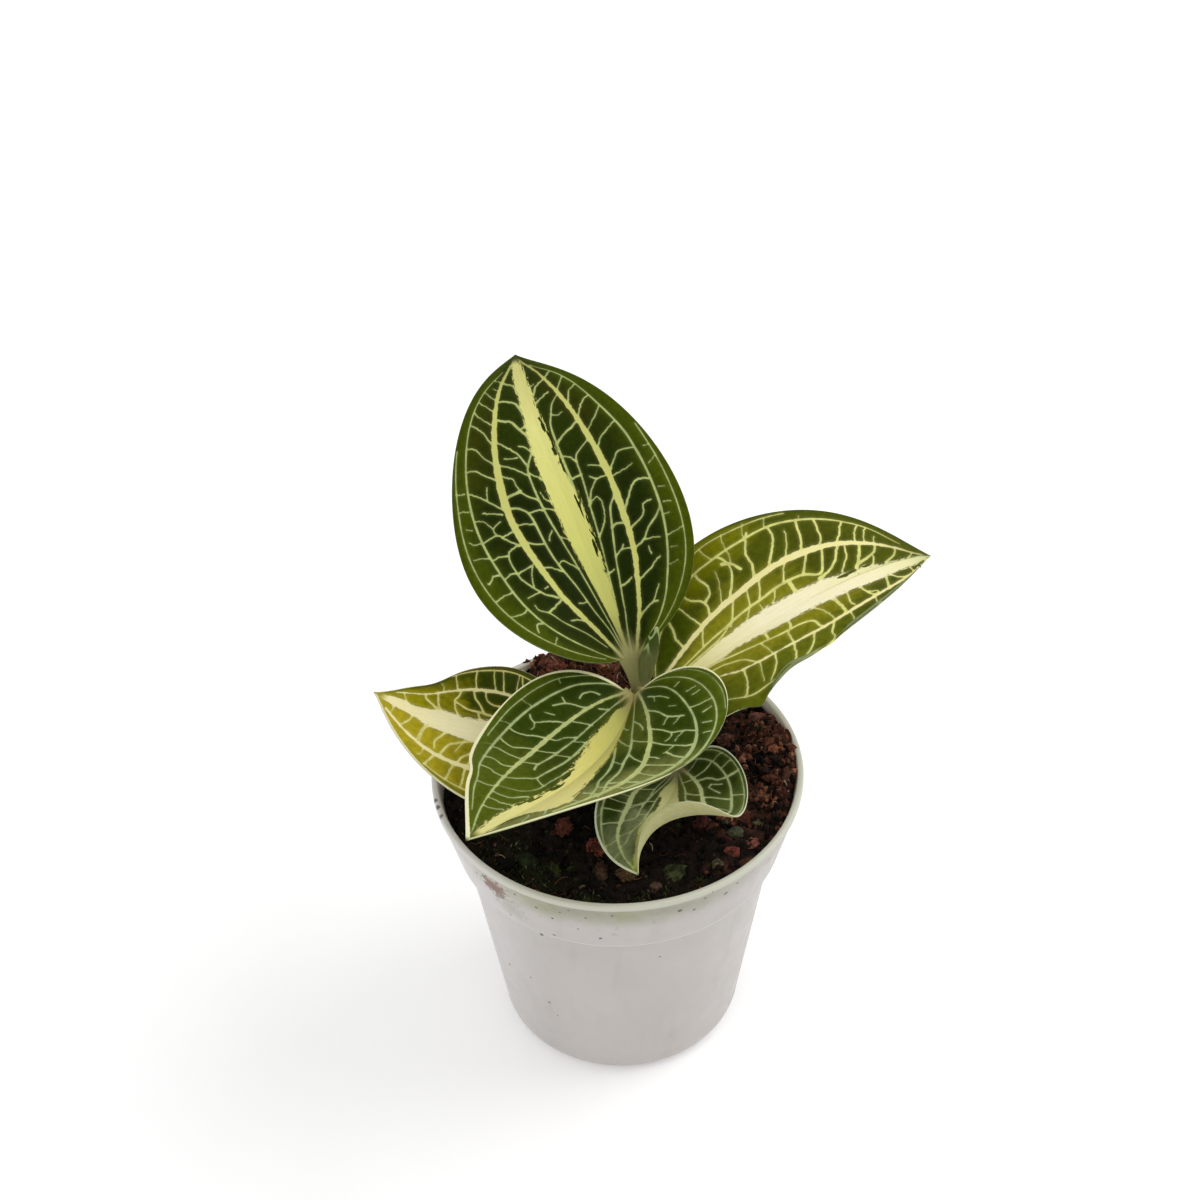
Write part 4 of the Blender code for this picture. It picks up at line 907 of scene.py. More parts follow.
def leaf_faces(total, columns, picks):
    """Triangles of the upper face, the underside, the two margins, the tip and the foot."""
    wide, narrow = columns + 1, len(picks)
    tip_top = total * wide
    base = tip_top + 1
    tip_low = base + total * narrow
    r, c = np.meshgrid(np.arange(total - 1), np.arange(columns), indexing="ij")
    a = (r * wide + c).ravel()
    quads = [np.stack([a, a + wide, a + wide + 1, a + 1], -1)]
    r, c = np.meshgrid(np.arange(total - 1), np.arange(narrow - 1), indexing="ij")
    b = (base + r * narrow + c).ravel()
    quads.append(np.stack([b, b + 1, b + narrow + 1, b + narrow], -1))
    r = np.arange(total - 1)
    quads.append(np.stack([r * wide, base + r * narrow, base + (r + 1) * narrow, (r + 1) * wide], -1))
    quads.append(np.stack([r * wide + columns, (r + 1) * wide + columns,
                           base + (r + 1) * narrow + narrow - 1, base + r * narrow + narrow - 1], -1))
    last_row, last_low = (total - 1) * wide, base + (total - 1) * narrow
    tris = [(last_row + i, tip_top, last_row + i + 1) for i in range(columns)]
    for i in range(narrow - 1):
        tris.append((last_low + i, last_low + i + 1, tip_low))
        tris += [(k, k + 1, base + i) for k in range(picks[i], picks[i + 1])]
        tris.append((picks[i + 1], base + i + 1, base + i))
    return np.concatenate([cut(np.concatenate(quads)), np.array(tris)])


def build_leaf(name):
    """A blade with raised lamina between its veins, its petiole, and the fields for its skin."""
    shape = SHAPES[name]
    plan = VEINS[name]
    columns, rows = plan["grid"]
    vs = np.linspace(-1, 1, columns + 1)
    ts = np.linspace(0, 1, rows + 1)
    across, share = (part.copy() for part in np.broadcast_arrays(vs, ts[:, None]))
    thin, strong = vein_fields(plan, shape, vs, ts)
    x, y = outline(shape, across, share)
    edge_x, edge_y = outline(shape, sided((1.0, -1.0), vs), ts[:, None])
    left, right = (np.interp(ts, *pairs(plan[side]).T)[:, None] for side in ("band_left", "band_right"))
    band = (np.abs(vs) - sided((left, right), vs)) * np.maximum(np.abs(edge_y), 1.0)
    rim = np.hypot(edge_x - x, edge_y - y)
    nearest = np.minimum(np.minimum(thin, strong), np.maximum(band, 0))
    puff = PUFF * (1 - np.exp(-np.maximum(nearest, 0) / PUFF_REACH)) * np.clip(rim / PUFF_RIM, 0, 1)
    puff *= np.clip(share / 0.06, 0, 1) * np.clip((1 - share) / 0.04, 0, 1)
    top = blade(shape, across, share, puff)
    foot = stalk(shape, vs, PETIOLE_ROWS)
    upper = np.concatenate([foot, top[:-1]])
    smooth = np.concatenate([foot, blade(shape, across, share)[:-1]])
    total, wide = upper.shape[:2]
    picks = underside_columns(columns)
    depth = EDGE_THICKNESS + (THICKNESS - EDGE_THICKNESS) * np.sqrt(np.clip(1 - np.abs(vs) ** 3, 0, 1))
    shrink = np.concatenate([np.ones(total - TIP_ROWS), np.linspace(1, TIP_SHRINK, TIP_ROWS)])
    lower = smooth[:, picks] - (normals_of(smooth)[:, picks] * depth[picks][None, :, None]
                                * shrink[:, None, None])
    tip = top[-1, :1]
    points = np.concatenate([upper.reshape(-1, 3), tip, lower.reshape(-1, 3),
                             tip - (0, 0, TIP_THICKNESS)])
    made = mesh_piece(name + "_blade", points, leaf_faces(total, columns, picks), [leaf_skin(name)],
                      plan["slot"], name)

    def spread(values, petiole_values, end):
        """A blade field on every vertex: petiole and blade, tip, then the same underneath."""
        full = np.concatenate([np.broadcast_to(petiole_values, (PETIOLE_ROWS, wide)), values[:-1]])
        return np.concatenate([full.ravel(), [end], full[:, picks].ravel(), [end]])

    for field, values, petiole_value in (("thin", thin, FIELD_FAR), ("strong", strong, FIELD_FAR),
                                         ("band", band, 3.0), ("rim", rim, 6.0),
                                         ("across", across, 0.0), ("share", share, 0.0)):
        store(made, field, spread(values, petiole_value, values[-1, 0]))
    petiole = np.arange(PETIOLE_ROWS)[:, None]
    grow = STALK_SHARE * np.exp(-np.hypot(x, y) / STALK_REACH)
    store(made, "stalk", spread(grow, 1 - petiole / PETIOLE_ROWS / 3, 0.0))
    store(made, "under", np.arange(len(points)) > total * wide)
    flat = [spread(x, (petiole - PETIOLE_ROWS) * 0.3, x[-1, 0]),
            spread(y, vs * PETIOLE_HALF_WIDTH, y[-1, 0])]
    store_vector(made, "flat", np.stack([*flat, 0 * flat[0]], -1))
    along = np.repeat(0.01 + 0.98 * np.arange(total) / total, wide).reshape(total, wide)
    uv = []
    for columns_kept, middle, half in ((np.arange(wide), 0.60, 0.385), (picks, 0.10, 0.085)):
        side = np.broadcast_to(middle + half * vs[columns_kept], (total, len(columns_kept)))
        uv += [np.stack([along[:, columns_kept].ravel(), side.ravel()], -1), [[0.99, middle]]]
    store_uv(made, np.concatenate(uv))


# ground is the lamina's main colour and margin its colour from |v| edge[0] outwards to edge[1].
# A patch is a soft tone over them: its middle (t, v), its reach along t and v, colour, share.
# faint is how far the veins sink into the lamina at the leaf's base and at its tip, and the
# band runs through stops of (t, red, green, blue). rim_width is the pale margin line's, in mm,
# left and right, and rim_end the t where it is gone and the t where it starts to fade. The line
# is partly the margin's own pale edge and partly a painted highlight where light catches it.
# plain is how much of its own colour the underside has.
LEAF_COLOURS = {
    "leaf_top": dict(
        ground=(28, 39, 2), margin=(68, 80, 3), edge=(0.50, 0.88),
        patches=[((1.0, 0.0), (0.62, 1.5), (46, 58, 3), 0.6),
                 ((0.82, -0.5), (0.16, 0.25), (56, 52, 5), 0.5),
                 ((0.74, 0.62), (0.18, 0.22), (58, 56, 5), 0.4),
                 ((0.1, 0.6), (0.16, 0.36), (36, 42, 3), 0.6),
                 ((0.42, 0.25), (0.2, 0.25), (27, 34, 2), 0.7)],
        vein=(182, 192, 118), strong=(200, 202, 116), warm=(210, 190, 104), warmth=0.35,
        faint=(0.25, 0.36), glow=0.05,
        band=[(0.02, 140, 142, 80), (0.12, 190, 190, 106), (0.3, 206, 206, 114),
              (0.5, 216, 214, 124), (0.75, 222, 220, 136), (0.93, 206, 203, 126)],
        rim=(112, 124, 78), rim_width=(0.10, 0.10), rim_end=(1.0, 0.96),
        stalk=(152, 149, 96)),
    "leaf_right": dict(
        ground=(77, 84, 9), margin=(74, 82, 9), edge=(0.66, 0.95),
        patches=[((0.24, -0.02), (0.5, 0.5), (138, 134, 28), 0.95),
                 ((0.36, 0.80), (0.22, 0.36), (126, 126, 8), 0.85),
                 ((0.30, -0.65), (0.3, 0.45), (104, 110, 20), 0.8),
                 ((0.08, 0.50), (0.15, 0.3), (64, 77, 5), 0.9),
                 ((0.68, 0.42), (0.14, 0.34), (66, 67, 8), 0.5),
                 ((0.7, -0.35), (0.2, 0.3), (78, 83, 24), 0.7)],
        vein=(226, 225, 134), strong=(240, 231, 160), warm=(245, 236, 180), warmth=0.4,
        faint=(0.12, 0.5), glow=0.09,
        band=[(0.05, 222, 215, 140), (0.2, 246, 237, 186), (0.35, 252, 245, 208),
              (0.55, 251, 243, 202), (0.75, 236, 231, 176), (0.95, 196, 198, 146)],
        rim=(214, 216, 184), rim_width=(0.0, 0.16), rim_end=(0.5, 0.3),
        stalk=(160, 160, 100)),
    # leaf_left's colours, its veins and band most of all, are set lighter than the leaf's own: painted
    # light that makes up for the shade it lies in and stands in for light shining through it.
    "leaf_left": dict(
        ground=(60, 71, 4), margin=(70, 79, 7), edge=(0.7, 1.0),
        patches=[((0.98, 0.6), (0.66, 1.1), (178, 162, 32), 1.0),
                 ((0.60, 1.02), (0.30, 0.30), (104, 108, 20), 0.75),
                 ((1.0, -0.4), (0.36, 0.72), (158, 149, 14), 0.95),
                 ((0.55, 0.5), (0.25, 0.5), (124, 118, 16), 0.6),
                 ((0.78, -1.02), (0.26, 0.24), (74, 80, 12), 0.75),
                 ((0.62, -0.95), (0.2, 0.12), (104, 70, 26), 0.5)],
        vein=(236, 228, 138), strong=(248, 239, 172), warm=(250, 230, 146), warmth=0.3,
        faint=(0.1, 0.05), glow=0.08,
        band=[(0.4, 255, 243, 188), (0.7, 255, 247, 198), (0.95, 255, 243, 184)],
        rim=(232, 226, 184), rim_width=(0.34, 0.16), rim_end=(1.0, 0.99),
        stalk=(160, 160, 100)),
    "leaf_front": dict(
        ground=(47, 62, 5), margin=(74, 88, 12), edge=(0.62, 0.9),
        patches=[((0.92, -0.5), (0.5, 0.9), (84, 95, 15), 0.8),
                 # The patch below, pale and grey near the margin towards the tip, is a painted sheen.
                 ((0.80, 0.66), (0.44, 0.50), (134, 135, 74), 0.75),
                 ((0.55, -0.12), (0.2, 0.28), (52, 64, 8), 0.7),
                 ((0.14, 0.12), (0.3, 0.34), (84, 92, 20), 0.8),
                 ((0.08, -0.8), (0.2, 0.4), (34, 49, 3), 0.8)],
        vein=(170, 183, 122), strong=(176, 184, 118), warm=(210, 208, 138), warmth=0.4,
        faint=(0.10, 0.1), glow=0.06,
        band=[(0.04, 160, 158, 86), (0.12, 190, 186, 100), (0.3, 208, 200, 110),
              (0.6, 224, 213, 130), (0.95, 222, 215, 142)],
        rim=(232, 229, 184), rim_width=(0.46, 0.66), rim_end=(1.0, 0.99),
        stalk=(164, 154, 100)),
    # leaf_low's colours are set about a quarter lighter than the leaf's own: painted light that makes up
    # for the shade of the leaves above it.
    "leaf_low": dict(
        ground=(48, 62, 7), margin=(62, 76, 20), edge=(0.68, 1.0),
        # The first two patches below, pale and greyish, are painted sheen.
        patches=[((0.66, -0.05), (0.26, 0.40), (130, 136, 92), 0.85),
                 ((0.98, -0.5), (0.34, 0.76), (134, 143, 98), 0.9),
                 ((0.70, -0.98), (0.20, 0.26), (100, 112, 74), 0.7),
                 ((1.0, -0.3), (0.07, 0.9), (128, 138, 20), 0.95),
                 ((0.34, -0.5), (0.2, 0.4), (90, 98, 44), 0.85),
                 ((0.16, 0.12), (0.3, 0.34), (90, 95, 24), 0.85),
                 ((0.45, 0.7), (0.2, 0.5), (84, 96, 40), 0.7)],
        vein=(180, 189, 134), strong=(194, 202, 142), warm=(206, 206, 140), warmth=0.2,
        faint=(0.2, 0.1), glow=0.08,
        band=[(0.05, 160, 158, 98), (0.15, 196, 194, 124), (0.35, 216, 212, 144),
              (0.8, 190, 190, 112)],
        rim=(218, 223, 192), rim_width=(0.34, 0.38), rim_end=(1.0, 0.99),
        stalk=(140, 132, 94), under=(186, 182, 128), plain=0.85),
}
UNDERSIDE = (146, 154, 112)
UNDERSIDE_VEIN = (204, 204, 158)


def leaf_ground(skin, tone, share, across, streak):
    """The lamina between the veins: its main colour, its margin and its soft patches, some of them
    painted sheen.
    """
    base = skin.mix(skin.ramp(abs(across), *tone["edge"]), tone["ground"], tone["margin"])
    for (t, v), (reach_t, reach_v), colour, strength in tone["patches"]:
        along = (share - t) / reach_t
        aside = (across - v) / reach_v
        away = along * along + aside * aside + (streak - 0.5) * 0.6
        base = skin.mix(skin.ramp(away, 1.0, 0.0, 0.0, strength), base, colour)
    return base


def band_edge(skin, plan, flat, share, across):
    """Distance from the midrib band with its feathered edge and dark slits, and its streaks."""
    streak = skin.noise(skin.stretched(flat, (0.34, 2.4, 1.0)), 1.0, 4, 0.65)
    fine = skin.noise(skin.stretched(flat, (1.1, 6.0, 1.0)), 1.0, 3, 0.6)
    wander = (streak - 0.5) * 2.2 + (fine - 0.5) * 3.0
    left, right = plan["feather"]
    side = skin.ramp(across, -0.015, 0.015, right, left, "LINEAR")
    band = skin.attribute("band") + wander * (side * skin.ramp(share, 0.08, 0.30, 0.2, 1.0))
    near = 0.0
    for slit_side, first, last in plan["slits"]:
        within = (skin.ramp(share, first - 0.06, first + 0.02)
                  * skin.ramp(share, last + 0.06, last - 0.02))
        near = skin.larger(near, within * skin.ramp(across, 0.0, 0.01 * slit_side))
    near = skin.ramp(skin.attribute("band"), -1.0, -0.45) * near
    dash = skin.noise(skin.stretched(flat, (0.26, 1.5, 1.0)), 1.0, 2, 0.5, 0.3)
    slit = skin.smaller((dash - 0.53) * 8.0, 0.5) - skin.ramp(near, 0.0, 1.0, 3.0, 0.0, "LINEAR")
    return skin.larger(band, slit), streak


def leaf_skin(name):
    """Lamina, pale net of veins, feathered midrib band and pale margin line, which is partly a painted
    highlight.
    """
    tone = LEAF_COLOURS[name]
    skin = Skin(name + "_skin", 0.55, 0.035)
    flat = skin.attribute("flat", "Vector")
    share, across, grown = (skin.attribute(kept) for kept in ("share", "across", "stalk"))
    cloud = skin.noise(flat, 0.14, 3) - 0.5
    mottle = skin.noise(flat, 0.9, 4)
    streak = skin.noise(skin.stretched(flat, (0.22, 1.1, 1.0)), 1.0, 3, 0.6)
    base = leaf_ground(skin, tone, share + cloud * 0.22, across + cloud * 0.3, streak)
    base = skin.mix(1.0, base, skin.grey(skin.ramp(mottle, 0.3, 0.75, 0.80, 1.20, "LINEAR")), "MULTIPLY")
    jitter = (skin.noise(flat, 3.0, 3) - 0.5) * 0.15
    coarse = (skin.noise(flat, 0.8, 3) - 0.5) * 0.5
    thin = skin.attribute("thin") + jitter
    strong = skin.attribute("strong") + (jitter + coarse)
    band, streak = band_edge(skin, VEINS[name], flat, share, across)
    net = skin.smaller(skin.smaller(thin, strong, 0.45), band, 0.5)
    vein = skin.mix(skin.ramp(skin.noise(flat, 0.5, 2), 0.35, 0.7), tone["vein"],
                    toned(tone["vein"], 0.88))
    warm = skin.ramp(skin.noise(flat, 0.45, 3), 0.52, 0.64) * tone["warmth"]
    vein = skin.mix(skin.ramp(strong - thin, 0.3, -0.1), vein,
                    skin.mix(warm, tone["strong"], tone["warm"]))
    first, last = tone["faint"]
    sunk = skin.larger(skin.ramp(share, 0.22, 0.0, 0.0, first), skin.ramp(share, 0.80, 1.0, 0.0, last))
    vein = skin.mix(sunk, vein, base)
    pale = skin.mix(skin.ramp(streak, 0.35, 0.75, 0.0, 0.22), skin.stops(share, tone["band"]),
                    toned(tone["strong"], 0.9))
    vein = skin.mix(skin.ramp(band - skin.smaller(thin, strong), 0.4, -0.1), vein, pale)
    base = skin.mix(skin.ramp(net, 0.6, 0.0, 0.0, tone["glow"]), base, vein)
    veined = skin.mix(skin.ramp(net, 0.07, -0.11), base, vein)
    veined = skin.mix(skin.ramp(share, 0.965, 0.99), veined, base)
    # The pale margin line: partly the margin's own pale edge, partly a painted highlight where light
    # catches it.
    left, right = tone["rim_width"]
    width = skin.ramp(across, -0.05, 0.05, right, left, "LINEAR")
    line = skin.ramp(skin.attribute("rim") + jitter * 1.4 - width, 0.08, -0.10)
    line = line * skin.ramp(width, 0.0, 0.08) * skin.ramp(share, *tone["rim_end"])
    veined = skin.mix(line, veined, tone["rim"])
    stalk = (grown + (streak - 0.5) * 0.35
             + skin.ramp(net, 0.4, -0.1) * skin.ramp(grown, 0.04, 0.2, 0.0, 0.14))
    stalk = skin.ramp(stalk, 0.16, 0.66)
    beige = skin.mix(skin.ramp(grown, 0.5, 1.0), tone["stalk"], toned(tone["stalk"], 0.86))
    plain = tone.get("plain", 0.66)
    ribs = skin.ramp(skin.noise(skin.stretched(flat, (0.5, 3.0, 1.0)), 1.0, 3, 0.6), 0.4, 0.65, 0,
                     0.45 * plain ** 4)
    under = skin.mix(plain, base, tone.get("under", UNDERSIDE))
    under = skin.mix(skin.larger(skin.ramp(net, 0.3, -0.3) * 0.45, ribs), under, UNDERSIDE_VEIN)
    skin.colour(skin.mix(skin.attribute("under"), skin.mix(stalk, veined, beige),
                         skin.mix(stalk, under, beige)))
    skin.bump(skin.ramp(net, -0.2, 0.5), 0.10, 0.6)
    skin.bump(skin.noise(flat, 7.0, 3), 0.03, 0.5)
    skin.roughness(skin.ramp(mottle, 0.2, 0.8, 0.48, 0.64, "LINEAR"))
    return skin.material


# --- stem and furled leaf ----------------------------------------------------------------
STEM_TOP = (4.35, 1.5, 81.6)
STEM_TOP_RADIUS = 0.7
# The rings left by old leaves: their heights, how far each rises and its half height, in mm.
STEM_RINGS = (60.9, 65.9, 71.2, 76.4)
RING_RISE, RING_REACH = 0.05, 0.35
STEM_UNEVENNESS = 0.02
# The sheaths at the petioles' feet: how thick, and how far they reach down and up, in mm.
SHEATH_RISE, SHEATH_DOWN, SHEATH_UP = 0.85, 1.5, 0.7
STEM_SIDES, STEM_STEPS = 40, 24
SPEAR_PATH = [(4.6, 2.2, 79.6), (5.3, 2.5, 83.4), (6.2, 2.9, 87.4), (7.0, 3.3, 91.0),
              (7.8, 3.7, 94.0)]
SPEAR_RADII = [1.0, 1.5, 1.7, 1.35, 0.25]
SPEAR_SIDES, SPEAR_STEPS = 64, 20
SPEAR_FLATNESS = 0.7
# The spear's free edge: how much it stands out, its reach and its turn from point to point of
# the path, in radians.
EDGE_RISE, EDGE_REACH, EDGE_TURN = 0.16, 0.2, 0.16


def build_stem():
    """The ringed stem, with the sheaths that wrap it at the petioles' feet."""
    path = through(STEM_PATH + [STEM_TOP], STEM_STEPS, overshoot=False)
    radii = np.interp(np.arange(len(path)) / STEM_STEPS, range(len(STEM_RADII) + 1),
                      STEM_RADII + [STEM_TOP_RADIUS])
    ring = sum(np.exp(-((path[:, 2] - height) / RING_REACH) ** 2) for height in STEM_RINGS)
    turn = turns(STEM_SIDES)
    z, around = np.broadcast_arrays(path[:, 2:], turn)
    bumpy = rough(np.stack([np.cos(around) * 1.6, np.sin(around) * 1.6, z * 0.7], -1), 60, 3)
    widths = (radii + RING_RISE * ring)[:, None] * (1 + STEM_UNEVENNESS * bumpy)
    for shape in SHAPES.values():
        foot, side, _ = shape["petiole"]
        height = path[:, 2] - foot
        sheath = np.exp(-(height / np.where(height < 0, SHEATH_DOWN, SHEATH_UP)) ** 2)
        facing = 0.5 + 0.5 * np.cos(turn - math.radians(side))
        widths = widths + SHEATH_RISE * sheath[:, None] * facing ** 1.5
    skin = Skin("stem_skin", 0.45, 0.35)
    here = skin.place()
    grain = skin.noise(skin.stretched(here, (1, 1, 0.25)), 900, 3)
    tone = skin.mix(grain, (112, 106, 50), (158, 150, 92))
    skin.colour(skin.mix(skin.ramp(skin.parts(here)[2], 0.066, 0.058), tone, (104, 70, 40)))
    skin.bump(skin.noise(skin.stretched(here, (1, 1, 0.2)), 1500, 3), 0.06, 0.6)
    mesh_piece("stem_rod", *rod(path, widths, STEM_SIDES), [skin.material], "stem_skin", "stem")


def build_new_leaf():
    """The youngest leaf, still rolled into a spear with one free edge."""
    path = through(SPEAR_PATH, SPEAR_STEPS, overshoot=False)
    knots = np.arange(len(path))[:, None] / SPEAR_STEPS
    radii = np.interp(knots, range(len(SPEAR_RADII)), SPEAR_RADII)
    from_edge = (turns(SPEAR_SIDES) - 0.1 - knots * EDGE_TURN + np.pi) % (2 * np.pi) - np.pi
    lap = EDGE_RISE * np.exp(-(from_edge / EDGE_REACH) ** 2)
    skin = Skin("new_leaf_skin", 0.5, 0.15)
    here = skin.place()
    height = skin.parts(here)[2]
    grain = skin.noise(skin.stretched(here, (1, 1, 0.10)), 1500, 3)
    tone = skin.mix(grain, (84, 88, 42), (122, 128, 80))
    tone = skin.mix(skin.ramp(height, 0.087, 0.092), tone, (62, 78, 22))
    line = abs(skin.noise(skin.stretched(here, (1, 1, 0.12)), 560, 0) - 0.5)
    line = skin.ramp(line, 0.05, 0.02) * skin.ramp(height, 0.088, 0.091)
    tone = skin.mix(line, tone, (164, 180, 116))
    tone = skin.mix(skin.ramp(skin.attribute("lap"), 0.06, 0.12), tone, (196, 200, 146))
    skin.colour(skin.mix(skin.ramp(height, 0.084, 0.080), tone, (150, 144, 92)))
    skin.bump(skin.noise(skin.stretched(here, (1, 1, 0.1)), 1800, 3), 0.05, 0.6)
    made = mesh_piece("new_leaf_spear", *rod(path, radii * (0.94 + lap), SPEAR_SIDES, SPEAR_FLATNESS),
                      [skin.material], "new_leaf_skin", "new_leaf")
    store(made, "lap", [*(lap * (radii > 0.1)).ravel(), 0, 0])


# --- pot ---------------------------------------------------------------------------------
RIM_RADIUS = 35.0
POT_HEIGHT = 62.0
LIP_HEIGHT = 1.2
LIP_WIDTH = 1.25
LIP_ROUNDING = 0.45
COLLAR_TOP_RADIUS = 34.7
COLLAR_FOOT_RADIUS = 31.5
STEP_HEIGHT = 47.2
BODY_TOP_RADIUS = 29.9
BODY_FOOT_RADIUS = 23.6
FOOT_ROUNDING = 4.2
WALL = 1.0
FLOOR = 1.2
POT_SIDES = 192
OUT_OF_ROUND = 0.0012
# A brown smear and a grey tint below it: angle round the pot in degrees and height in mm.
SMEAR = (-133, 56.8)
TINT = (-128, 52.6)
# Dark specks on the pot: angle round it in degrees, height and radius in mm.
SPECKS = [(-120, 44.5, 0.42), (-113, 48.4, 0.30), (-67, 56.5, 0.34), (-62, 61.0, 0.30),
          (-145, 24.1, 0.32), (-131, 26.1, 0.26), (-123, 20.4, 0.30), (-120, 16.8, 0.24),
          (-130, 48.6, 0.26), (-137, 58.4, 0.45), (-141, 57.2, 0.36), (-104, 53.0, 0.26),
          (-97, 50.4, 0.30), (-88, 46.2, 0.26), (-76, 40.3, 0.24), (-168, 61.6, 0.55),
          (-165, 61.9, 0.50), (-161, 61.7, 0.55), (-106, 59.4, 0.34), (-93, 59.0, 0.34),
          (-124, 58.9, 0.30), (-117, 57.2, 0.28), (-112, 55.0, 0.26), (-79, 58.6, 0.26),
          (-109, 58.0, 0.24), (-101, 57.6, 0.30), (-56, 57.4, 0.50), (-52, 58.8, 0.40),
          (-72, 57.8, 0.50), (-64, 59.4, 0.42)]


def between(a, b, count):
    """Even steps on the straight line from a to b, without a."""
    return [(a[0] + (b[0] - a[0]) * s, a[1] + (b[1] - a[1]) * s)
            for s in np.linspace(0, 1, count + 1)[1:]]


def corner_arc(x, z, radius, degrees):
    """Points on an arc round (x, z), at these angles."""
    return [(x + radius * math.cos(a), z + radius * math.sin(a)) for a in np.radians(degrees)]


def pot_profile():
    """The pot's outline as (radius, height): out over its floor, up, over the lip and down."""
    foot = BODY_FOOT_RADIUS - FOOT_ROUNDING
    inner_step = (COLLAR_FOOT_RADIUS - WALL, STEP_HEIGHT + 1.4)
    shoulder = POT_HEIGHT - LIP_ROUNDING
    inner_lip = RIM_RADIUS - LIP_WIDTH
    collar_top = (COLLAR_TOP_RADIUS, POT_HEIGHT - LIP_HEIGHT - 0.3)
    body_top = (BODY_TOP_RADIUS, STEP_HEIGHT - 0.3)
    path = [(0.0, FLOOR)]
    path += corner_arc(foot, FLOOR + FOOT_ROUNDING - WALL, FOOT_ROUNDING - WALL,
                       np.linspace(-90, 0, 8))
    path += between((BODY_FOOT_RADIUS - WALL, FOOT_ROUNDING),
                    (BODY_TOP_RADIUS - WALL, STEP_HEIGHT + 0.3), 12)
    path += [inner_step] + between(inner_step, (inner_lip, shoulder), 8)
    path += corner_arc(inner_lip + LIP_ROUNDING, shoulder, LIP_ROUNDING, (150, 120, 90))
    path += corner_arc(RIM_RADIUS - LIP_ROUNDING, shoulder, LIP_ROUNDING, (90, 60, 30, 0))
    path += [(RIM_RADIUS, POT_HEIGHT - LIP_HEIGHT), collar_top]
    path += between(collar_top, (COLLAR_FOOT_RADIUS, STEP_HEIGHT + 0.5), 10)
    path += [(COLLAR_FOOT_RADIUS - 0.12, STEP_HEIGHT + 0.15), (COLLAR_FOOT_RADIUS - 0.35, STEP_HEIGHT),
             (BODY_TOP_RADIUS + 0.25, STEP_HEIGHT - 0.12), body_top]
    path += between(body_top, (BODY_FOOT_RADIUS, FOOT_ROUNDING), 14)
    path += corner_arc(foot, FOOT_ROUNDING, FOOT_ROUNDING, np.linspace(0, -90, 10)[1:])
    return np.array(path + [(0.0, 0.0)])


def on_pot(angle, z):
    """A point on the pot's outside, in metres, from an angle in degrees and a height in mm."""
    radius = np.interp(z, (FOOT_ROUNDING, STEP_HEIGHT - 0.3, STEP_HEIGHT + 0.5,
                           POT_HEIGHT - LIP_HEIGHT - 0.3, POT_HEIGHT),
                       (BODY_FOOT_RADIUS, BODY_TOP_RADIUS, COLLAR_FOOT_RADIUS,
                        COLLAR_TOP_RADIUS, RIM_RADIUS - 0.4))
    turn = math.radians(angle)
    return (radius * math.cos(turn) * MM, radius * math.sin(turn) * MM, z * MM)


